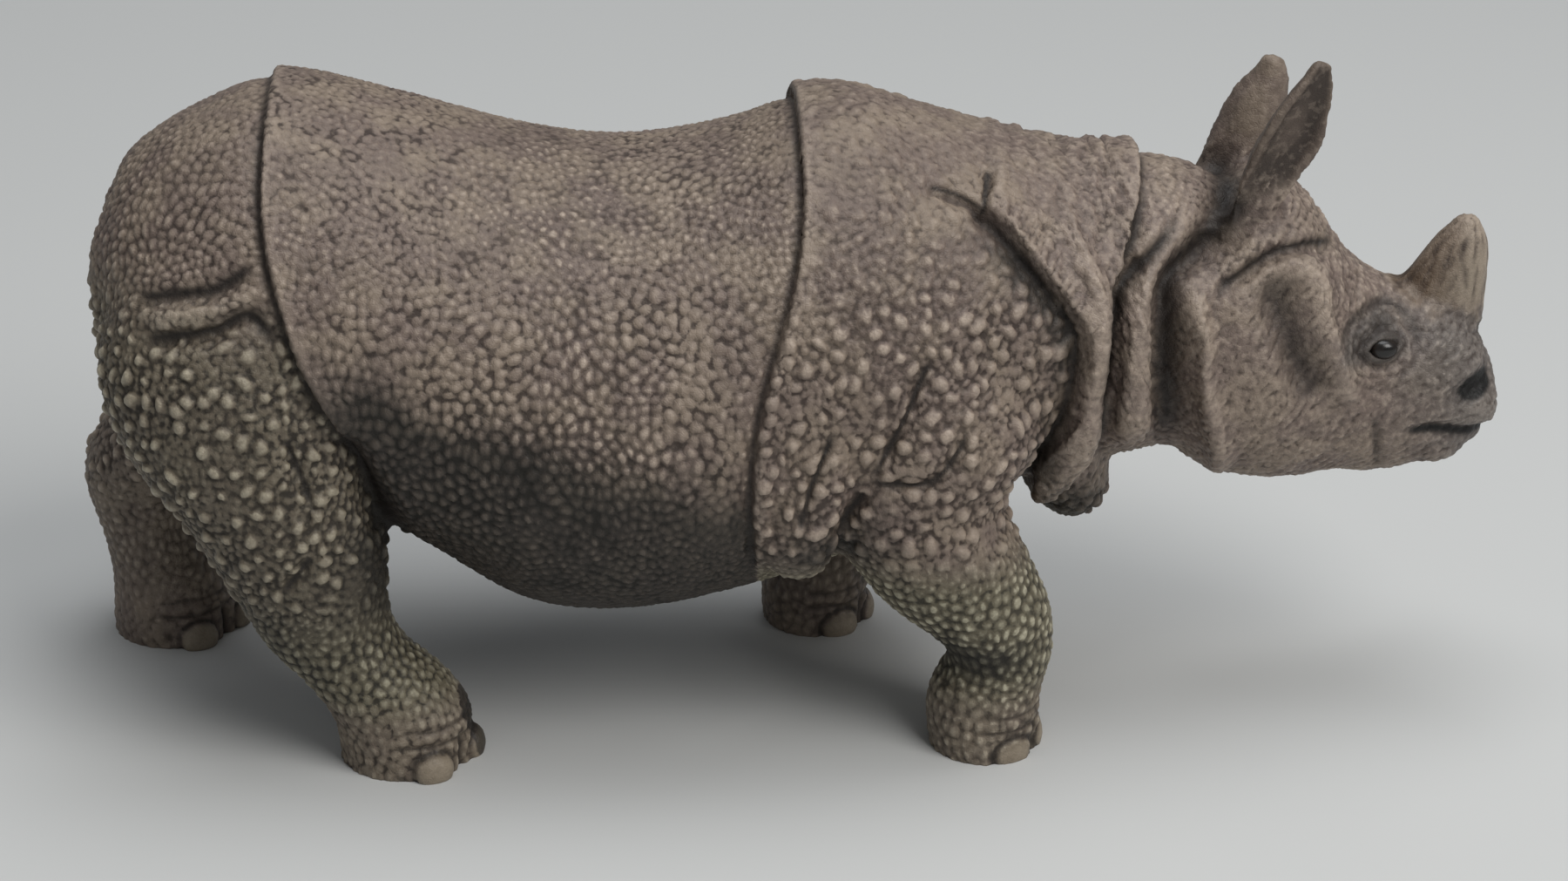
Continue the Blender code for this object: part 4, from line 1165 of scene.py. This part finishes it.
def piece_of_hide(name, places, normals, triangles, looks):
    """One closed piece of the hide: its faces, and a lid over each rim where the next piece starts.

    A rim's edges are those that one face uses and no other. Each is joined to the middle of its rim, and rims
    are told apart by the seam that is nearest. The shading follows the whole figure, so no seam shows. The
    lids lie inside the figure, so their middles take any looks and normals, the first ones.
    """
    used, triangles = np.unique(triangles, return_inverse=True)
    triangles = triangles.reshape(-1, 3)
    here = places[used]
    runs = np.concatenate([triangles[:, [k, (k + 1) % 3]] for k in range(3)])
    codes = runs @ [len(used), 1]
    rim = runs[~np.isin(codes, runs[:, ::-1] @ [len(used), 1])]
    gaps = [from_line(here[rim[:, 0]], line)[0] for line in seam_lines()]
    seam = np.argmin(gaps, axis=0)
    lids, middles = [triangles], []
    for index in np.unique(seam):
        edges = rim[seam == index]
        lids.append(np.column_stack([edges[:, ::-1], np.full(len(edges), len(used) + len(middles))]))
        middles.append(here[edges].mean(axis=(0, 1)))
    lid_count = len(middles)
    mesh = bpy.data.meshes.new(name)
    mesh.from_pydata((np.vstack([here, *middles]) * PART).tolist(), [], np.vstack(lids).tolist())
    keep_looks(mesh, {
        label: np.vstack([values[used], values[:lid_count]]) for label, values in looks.items()
    })
    mesh.shade_smooth()
    mesh.normals_split_custom_set_from_vertices(np.vstack([normals[used], normals[:lid_count]]).tolist())
    return add_object(name, mesh)


def worked_figure():
    """The whole figure with its folds, knobs, pebbles and wrinkles, as one skin."""
    masses = [
        body_of("trunk", TRUNK, 60, 1.5),
        body_of("head", HEAD, 40, 1.2),
        column_of("near hind leg", NEAR_HIND_LEG, 1.0),
        column_of("far hind leg", FAR_HIND_LEG, 1.0),
        column_of("near fore leg", NEAR_FORE_LEG, 1.0),
        column_of("far fore leg", FAR_FORE_LEG, 1.0),
    ]
    figure = joined("masses", masses, MASS_CELL, MASS_SMOOTHING)
    part_buttocks(figure)
    features = [
        column_of("horn", HORN, 1.0),
        column_of("bib", BIB, 1.4),
        column_of("tail", TAIL, 1.0),
        *[
            column_of(name, rows, 1.0, side)
            for name, rows in (("elbow flap", ELBOW_FLAP), ("nape hem", NAPE_HEM), ("throat hem", THROAT_HEM))
            for side in (-1.0, 1.0)
        ],
        lump("chin", np.array(CHIN[:3]), CHIN[3:]),
        ear("near ear", NEAR_EAR, NEAR_EAR_LOOKS),
        ear("far ear", FAR_EAR, FAR_EAR_LOOKS),
        *feet(),
    ]
    figure = joined("features", [figure, *features], FEATURE_CELL, FEATURE_SMOOTHING)
    fold_hide(figure)
    figure = joined("hide", [figure], HIDE_CELL, HIDE_SMOOTHING)
    return figure


def dressed(figure):
    """The figure's relief pushed out and in, and what the paint follows, kept as attributes of its mesh."""
    places, normals = places_and_normals(figure)
    x, y, z = places.T
    zones = hide_zones(places)
    knobs, top, own = pebbled(places, zones)
    wrinkles, wrinkle_top = wrinkled(places, zones)
    horn, streaks = horn_share(places), horn_streaks(places)
    nail, nail_line = nail_share(places)
    hollow, ears = ear_hollow(places), ear_share(places, zones)
    slit, rim, lid_crease = eye_lids(places)
    clefts = toe_clefts(places)
    shadow = np.max([fold_shadow(places, *fold) for fold in FOLDS], axis=0)
    plain = (1 - np.maximum(horn, nail)) * (1 - 0.6 * ears) * (1 - np.maximum(slit, rim))
    calm = plain * (1 - 0.8 * np.maximum(shadow, clefts))
    rise = knobs * calm + wrinkles * plain + 0.2 * (streaks - 0.5) * horn - 0.3 * nail_line - 0.3 * hollow
    rise = rise + 0.28 * rim - 0.55 * slit - 0.22 * lid_crease - 0.6 * clefts * (1 - nail)
    move_vertices(figure, places + normals * rise[:, None])
    skin = np.maximum(zones["neck"], zones["head"])
    # The ridges' crests on the neck and head are painted pale, as painted highlight.
    crest = np.max([ridge_highlight(places, *fold) for fold in FOLDS], axis=0)
    top = top * (1 - skin) + (0.03 + 0.42 * wrinkle_top + 0.55 * top) * skin
    top = np.clip(top + 0.55 * crest * skin, 0.0, 1.0)
    top = top * plain + streaks * horn + 0.7 * nail + 0.5 * (1 - plain) * (1 - horn) * (1 - nail)
    broad = relief_of(figure, BROAD_ROUNDS, BROAD_DEPTH)
    broad = broad + (0.5 - broad) * np.where(broad < 0.5, np.maximum(0.8 * ears, 0.6 * skin), 0.8 * ears)
    broad = np.clip(broad + 0.3 * crest * skin, 0.0, 1.0)
    fine = relief_of(figure, FINE_ROUNDS, FINE_DEPTH)
    from_eye = np.hypot((x - EYE_PLACE[0] + 0.8) / 1.4, z - EYE_PLACE[2] - 0.9)
    from_eye = from_eye + 2.4 * (soft_noise(places, 2.2, 91) - 0.5)
    muzzle = smooth_step(x + 0.35 * (z - 34.0) + 5.0 * (soft_noise(places, 4.0, 92) - 0.5), 60.0, 72.0)
    grey = np.maximum(0.75 * smooth_step(-from_eye, -4.2, -1.6), 0.8 * muzzle * smooth_step(-z, -48.0, -42.0))
    openings = np.maximum(opening_share(places), 0.9 * slit)
    # Painted shadow in the folds, toe clefts, nail lines and lid creases, and darker paint round each eye and
    # its rim.
    crease_shadows = np.max([0.94 * shadow, 0.8 * nail_line, 0.75 * clefts, 0.75 * rim, 0.45 * lid_crease], axis=0)
    crease_shadows = np.maximum(crease_shadows, 0.6 * smooth_step(-from_eye, -3.4, -0.6) * zones["head"])
    # Painted shade, with the belly's dark wash, fading out first on the pebbles' tops.
    dark = painted_shade_and_wash(places, zones)
    dark = np.clip(dark * (1 - 0.24 * top) - 1.2 * top * dark * (1 - dark), 0.0, 1.0)
    olive = (zones["legs"] + 0.65 * zones["thigh"]) * (1 - 0.6 * smooth_step(-z, -10.0, -5.0))
    olive = np.clip(olive * (1 - 0.7 * smooth_step(y, 4.0, 9.0)), 0.0, 1.0)
    # Brown mostly on the near ear, as its own colour and as painted shade; the far ear is left pale as if lit.
    ear_brown_and_shade = ears * (1 - 0.8 * smooth_step(y, -1.0, 1.0))
    soft_skin = skin * (1 - horn) * (1 - 0.8 * ears)
    # On the horn, own runs from its back to its front, which the paint makes paler, partly as painted light.
    behind_horn = 66.0 + 0.48 * (z - 47.0)
    own = own * (1 - horn) + smooth_step((x - behind_horn) / (74.5 - behind_horn), 0.1, 0.7) * horn
    keep_looks(figure.data, {
        "relief": np.stack([top, fine, broad], axis=1),
        "zones": np.stack([olive, soft_skin, ear_brown_and_shade], axis=1),
        "details": np.stack([horn, nail, grey * zones["head"] * (1 - horn)], axis=1),
        "marks": np.stack([openings, hollow, own], axis=1),
        "tones": np.stack([crease_shadows, dark, streaks], axis=1),
    })


def looks_of(figure):
    """What the paint follows, read back from the mesh after it has been cut."""
    looks = {}
    for label in LOOKS:
        values = np.empty(len(figure.data.vertices) * 3, np.float32)
        figure.data.attributes[label].data.foreach_get("vector", values)
        looks[label] = values.reshape(-1, 3)
    return looks


def onto_solid(places, low, high):
    """Places brought level and even from the worked figure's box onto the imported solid's box."""
    solid_low, solid_high = np.array(SOLID_LOW) / PART, np.array(SOLID_HIGH) / PART
    return solid_low + (places - low) * (solid_high - solid_low) / (high - low)


def add_node(tree, kind, inputs=None, **settings):
    """A new node with its settings, and each named input set or linked."""
    made = tree.nodes.new(kind)
    for name, value in settings.items():
        setattr(made, name, value)
    for name, value in (inputs or {}).items():
        if isinstance(value, bpy.types.NodeSocket):
            tree.links.new(value, made.inputs[name])
        else:
            made.inputs[name].default_value = value
    return made


def maths(tree, operation, first, second):
    """The result of one sum on two values."""
    return add_node(tree, "ShaderNodeMath", {0: first, 1: second}, operation=operation).outputs[0]


def times(tree, first, second):
    """One value times another."""
    return maths(tree, "MULTIPLY", first, second)


def blend(tree, share, under, over):
    """One colour laid over another by a share."""
    return add_node(tree, "ShaderNodeMix", {0: share, 6: under, 7: over}, data_type="RGBA").outputs[2]


def layered(tree, colour, coats):
    """Coats of paint, each a share and a colour, laid over a first colour one after another."""
    for share, over in coats:
        colour = blend(tree, share, colour, over)
    return colour


def graded(tree, value, low, high, start=0.0, end=1.0):
    """A value carried smoothly from one range to another."""
    sockets = {"Value": value, "From Min": low, "From Max": high, "To Min": start, "To Max": end}
    return add_node(tree, "ShaderNodeMapRange", sockets, interpolation_type="SMOOTHSTEP").outputs["Result"]


def new_group(name, inputs, outputs):
    """An empty shader node group with its named sockets, and its two end nodes."""
    group = bpy.data.node_groups.new(name, "ShaderNodeTree")
    for labels, way in ((inputs, "INPUT"), (outputs, "OUTPUT")):
        for label in labels:
            kind = "NodeSocketColor" if label in COLOUR_SOCKETS else "NodeSocketFloat"
            group.interface.new_socket(label, in_out=way, socket_type=kind)
    return group, group.nodes.new("NodeGroupInput").outputs, group.nodes.new("NodeGroupOutput").inputs


def mottle_group():
    """Uneven hand-painted patches: two sizes of cloudy noise on the object's own places, from 0 to 1."""
    group, given, made = new_group("mottle", ["Patch Size"], ["Cloud", "Speckle"])
    places = add_node(group, "ShaderNodeTexCoord").outputs["Object"]
    scale = maths(group, "DIVIDE", 1.0, given["Patch Size"])
    cloud = add_node(group, "ShaderNodeTexNoise", {"Vector": places, "Scale": scale, "Detail": 3.0})
    fine_scale = times(group, scale, 11.0)
    speckle = add_node(group, "ShaderNodeTexNoise", {"Vector": places, "Scale": fine_scale, "Detail": 2.0})
    group.links.new(graded(group, cloud.outputs[0], 0.32, 0.68), made["Cloud"])
    group.links.new(graded(group, speckle.outputs[0], 0.35, 0.65), made["Speckle"])
    return group


def wash_group():
    """A dark wash that settles in hollows and a pale dry brushing that catches the tops. In the broad hollows
    the wash is painted shade as well, and on the broad swellings the brushing is partly painted highlight.
    """
    group, given, made = new_group(
        "wash and dry brush",
        ["Base", "Wash", "Brushed", "Top", "Fine", "Broad", "Own", "Cloud", "Speckle"],
        ["Color", "Roughness"],
    )
    groove = graded(group, given["Top"], 0.48, 0.06)
    hollow = graded(group, given["Fine"], 0.46, 0.12)
    # The broad hollows are washed dark as painted shade as well as wash.
    deep = graded(group, given["Broad"], 0.42, 0.05)
    washed = maths(group, "MAXIMUM", times(group, groove, 0.86), times(group, hollow, 0.55))
    washed = maths(group, "MAXIMUM", washed, times(group, deep, 0.85))
    washed = times(group, washed, graded(group, given["Cloud"], 0.0, 1.0, 1.0, 0.72))
    raised = graded(group, given["Fine"], 0.42, 0.85)
    brushed = times(group, graded(group, given["Top"], 0.45, 1.0), raised)
    brushed = times(group, brushed, graded(group, given["Own"], 0.0, 1.0, 0.45, 1.0))
    # The broad swellings are brushed pale, partly as painted highlight.
    edge = graded(group, given["Broad"], 0.55, 0.9)
    brushed = maths(group, "MAXIMUM", brushed, times(group, edge, 0.6))
    patchy = graded(group, given["Cloud"], 0.0, 1.0, 0.55, 1.0)
    speckled = graded(group, given["Speckle"], 0.0, 1.0, 0.65, 1.0)
    brushed = times(group, times(group, brushed, patchy), speckled)
    colour = layered(group, given["Base"], [(brushed, given["Brushed"]), (washed, given["Wash"])])
    group.links.new(colour, made["Color"])
    rough = graded(group, washed, 0.0, 1.0, 0.56, 0.74)
    rough = maths(group, "SUBTRACT", rough, times(group, brushed, 0.06))
    group.links.new(rough, made["Roughness"])
    return group


def grain_group():
    """The cast skin's finest grain: a crazed net and a soft pitting, as a height from 0 to 1."""
    group, given, made = new_group("cast grain", ["Net Size"], ["Height"])
    places = add_node(group, "ShaderNodeTexCoord").outputs["Object"]
    scale = maths(group, "DIVIDE", 1.0, given["Net Size"])
    net = add_node(
        group, "ShaderNodeTexVoronoi", {"Vector": places, "Scale": scale}, feature="DISTANCE_TO_EDGE"
    ).outputs["Distance"]
    pits = add_node(group, "ShaderNodeTexNoise", {"Vector": places, "Scale": times(group, scale, 1.7)})
    height = maths(group, "ADD", graded(group, net, 0.0, 0.18), pits.outputs[0])
    group.links.new(times(group, height, 0.5), made["Height"])
    return group


def use_group(tree, group, inputs):
    """What a shader group gives for these inputs."""
    return add_node(tree, "ShaderNodeGroup", inputs, node_tree=group).outputs


def new_material(name):
    """A new material, its node tree and the sockets of its surface."""
    material = bpy.data.materials.new(name)
    material.use_nodes = True
    tree = material.node_tree
    return material, tree, tree.nodes["Principled BSDF"].inputs


def attribute_parts(tree, name):
    """The three numbers that a named attribute of the mesh holds."""
    read = add_node(tree, "ShaderNodeAttribute", attribute_name=name)
    split = add_node(tree, "ShaderNodeSeparateXYZ", {0: read.outputs["Vector"]})
    return split.outputs[0], split.outputs[1], split.outputs[2]


def painted_hide(mottle, wash, grain):
    """The figure's paint: mottled taupe plates, olive legs, warmer head and neck, brown horn, pale nails."""
    material, tree, surface = new_material("painted hide")
    top, fine, broad = attribute_parts(tree, "relief")
    legs, face, ears = attribute_parts(tree, "zones")
    horn, nail, grey = attribute_parts(tree, "details")
    opening, hollow, own = attribute_parts(tree, "marks")
    crease, dark, streak = attribute_parts(tree, "tones")
    patches, blots, flecks = (
        use_group(tree, mottle, {"Patch Size": size}) for size in (PATCH_SIZE, BLOT_SIZE, FLECK_SIZE)
    )
    sand = graded(tree, blots["Cloud"], 0.6, 0.0)
    # The horn is painted paler towards its front, partly as painted light.
    horn_paint = blend(tree, own, HORN_BROWN, HORN_FRONT)
    # The ears' brown lies mostly on the near ear, partly as painted shade, and their hollows are painted
    # shade.
    base = layered(tree, TAUPE, [
        (patches["Cloud"], TAUPE_DEEP), (face, WARM_TAUPE), (times(tree, blots["Cloud"], 0.6), MAUVE),
        (times(tree, sand, 0.45), SAND), (times(tree, legs, 0.9), OLIVE), (grey, SLATE),
        (times(tree, ears, 0.6), EAR_BROWN_AND_SHADE), (horn, horn_paint), (nail, NAIL_BEIGE), (hollow, EAR_HOLLOW_SHADE),
    ])
    washed = layered(tree, WASH, [(legs, LEG_WASH), (face, FACE_WASH), (nail, NAIL_WASH)])
    brushed = layered(tree, BRUSHED, [
        (legs, LEG_BRUSHED), (face, FACE_BRUSHED), (grey, SLATE_BRUSHED), (nail, NAIL_BRUSHED),
    ])
    paints = use_group(tree, wash, {
        "Base": base, "Wash": washed, "Brushed": brushed, "Top": top, "Fine": fine, "Broad": broad,
        "Own": own, "Cloud": patches["Cloud"], "Speckle": blots["Speckle"],
    })
    horn_dark = times(tree, times(tree, horn, blots["Cloud"]), graded(tree, streak, 0.7, 0.2))
    share = graded(tree, face, 0.0, 1.0, 0.12, 0.27)
    bright = times(tree, share, graded(tree, flecks["Cloud"], 0.55, 1.0))
    dull = times(tree, share, graded(tree, flecks["Cloud"], 0.45, 0.0))
    # Over the paint: the horn's dark patches, the face's flecks, painted shade with the belly's wash, painted
    # shadow in the creases, and the black openings.
    colour = layered(tree, paints["Color"], [
        (times(tree, horn_dark, 0.8), FACE_WASH), (bright, brushed), (dull, washed), (dark, SHADE_AND_WASH),
        (crease, CREASE_SHADOW), (opening, OPENING_BLACK),
    ])
    height = use_group(tree, grain, {"Net Size": GRAIN_SIZE})["Height"]
    bump = add_node(tree, "ShaderNodeBump", {"Strength": 0.4, "Distance": GRAIN_DEPTH, "Height": height})
    tree.links.new(colour, surface["Base Color"])
    tree.links.new(paints["Roughness"], surface["Roughness"])
    tree.links.new(bump.outputs["Normal"], surface["Normal"])
    surface["Specular IOR Level"].default_value = 0.4
    return material


def eye_enamel(mottle):
    """The eyes: near-black brown enamel, glossy, a little cloudy."""
    material, tree, surface = new_material("eye enamel")
    patches = use_group(tree, mottle, {"Patch Size": EYE_PATCH_SIZE})
    tree.links.new(blend(tree, patches["Cloud"], EYE_BLACK, EYE_BROWN), surface["Base Color"])
    tree.links.new(graded(tree, patches["Cloud"], 0.0, 1.0, 0.24, 0.34), surface["Roughness"])
    surface["Coat Weight"].default_value = 0.1
    return material


def soft_light(name, place, size, power, colour):
    """A square soft box that looks at the figure."""
    data = bpy.data.lights.new(name, "AREA")
    data.size = size
    data.energy = power
    data.color = colour
    lamp = add_object(name, data)
    lamp.location = place
    lamp.rotation_euler = (Vector(LIGHT_AIM) - Vector(place)).to_track_quat("-Z", "Y").to_euler()


def build_hide(material):
    """The pieces of the hide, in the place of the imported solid, and the map from the tables onto its box."""
    figure = worked_figure()
    dressed(figure)
    stand_flat(figure)
    places, normals = places_and_normals(figure)
    looks = looks_of(figure)
    triangles = np.empty(len(figure.data.polygons) * 3, np.int64)
    figure.data.polygons.foreach_get("vertices", triangles)
    triangles = triangles.reshape(-1, 3)
    region = seams_behind(places[triangles].mean(axis=1))
    low, high = places.min(axis=0), places.max(axis=0)
    bpy.data.objects.remove(figure)
    settled = onto_solid(places, low, high)
    for index, name in enumerate(HIDE_PIECES):
        piece = piece_of_hide(name, settled, normals, triangles[region == index], looks)
        piece.data.materials.append(material)
        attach(piece, "root")
        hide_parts("rhinoceros")
    return low, high


def build_eyes(material, low, high):
    """The two eyes: flattened balls set in their sockets."""
    for name, side in (("near_eye", -1.0), ("far_eye", 1.0)):
        place = np.array(EYE_PLACE) * [1.0, side, 1.0]
        ball = lump(name, place, EYE_SIZE)
        places, _ = places_and_normals(ball)
        move_vertices(ball, onto_solid(places, low, high))
        ball.data.materials.append(material)
        ball.data.shade_smooth()
        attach(ball, "root")


def build_floor():
    """A wide pale floor."""
    mesh = bpy.data.meshes.new("floor")
    half = FLOOR_WIDTH / 2
    corners = [(-half, -half, 0.0), (half, -half, 0.0), (half, half, 0.0), (-half, half, 0.0)]
    mesh.from_pydata(corners, [], [(0, 1, 2, 3)])
    material, _, surface = new_material("pale floor")
    surface["Base Color"].default_value = FLOOR_PALE
    surface["Roughness"].default_value = 0.8
    mesh.materials.append(material)
    add_object("floor", mesh)


def light_studio():
    """Soft boxes above and before the figure, and a pale even sky."""
    for name, (place, size, power, colour) in SOFT_BOXES.items():
        soft_light(name, place, size, power, colour)
    world = bpy.data.worlds.new("studio sky")
    world.use_nodes = True
    background = world.node_tree.nodes["Background"]
    background.inputs["Color"].default_value = SKY_COLOUR
    background.inputs["Strength"].default_value = SKY_STRENGTH
    bpy.context.scene.world = world
    bpy.context.scene.view_settings.view_transform = "Standard"


def place_camera():
    """The photograph's view: from the figure's right side, a little ahead of square and well above."""
    azimuth, elevation, roll = np.radians([CAMERA_AZIMUTH, CAMERA_ELEVATION, CAMERA_ROLL])
    back = np.array([
        np.sin(azimuth) * np.cos(elevation), -np.cos(azimuth) * np.cos(elevation), np.sin(elevation)
    ])
    level = np.array([np.cos(azimuth), np.sin(azimuth), 0.0])
    upright = np.cross(back, level)
    right = level * np.cos(roll) + upright * np.sin(roll)
    up = upright * np.cos(roll) - level * np.sin(roll)
    data = bpy.data.cameras.new("camera")
    data.sensor_width = 36.0
    data.lens = CAMERA_LENS
    data.clip_start = 0.01
    camera = add_object("camera", data)
    turn = Matrix((right, up, back)).transposed().to_4x4()
    camera.matrix_world = Matrix.Translation(Vector(CAMERA_TARGET) + CAMERA_DISTANCE * Vector(back)) @ turn
    bpy.context.scene.camera = camera


mottle, wash, grain = mottle_group(), wash_group(), grain_group()
figure_low, figure_high = build_hide(painted_hide(mottle, wash, grain))
build_eyes(eye_enamel(mottle), figure_low, figure_high)
build_floor()
light_studio()
place_camera()
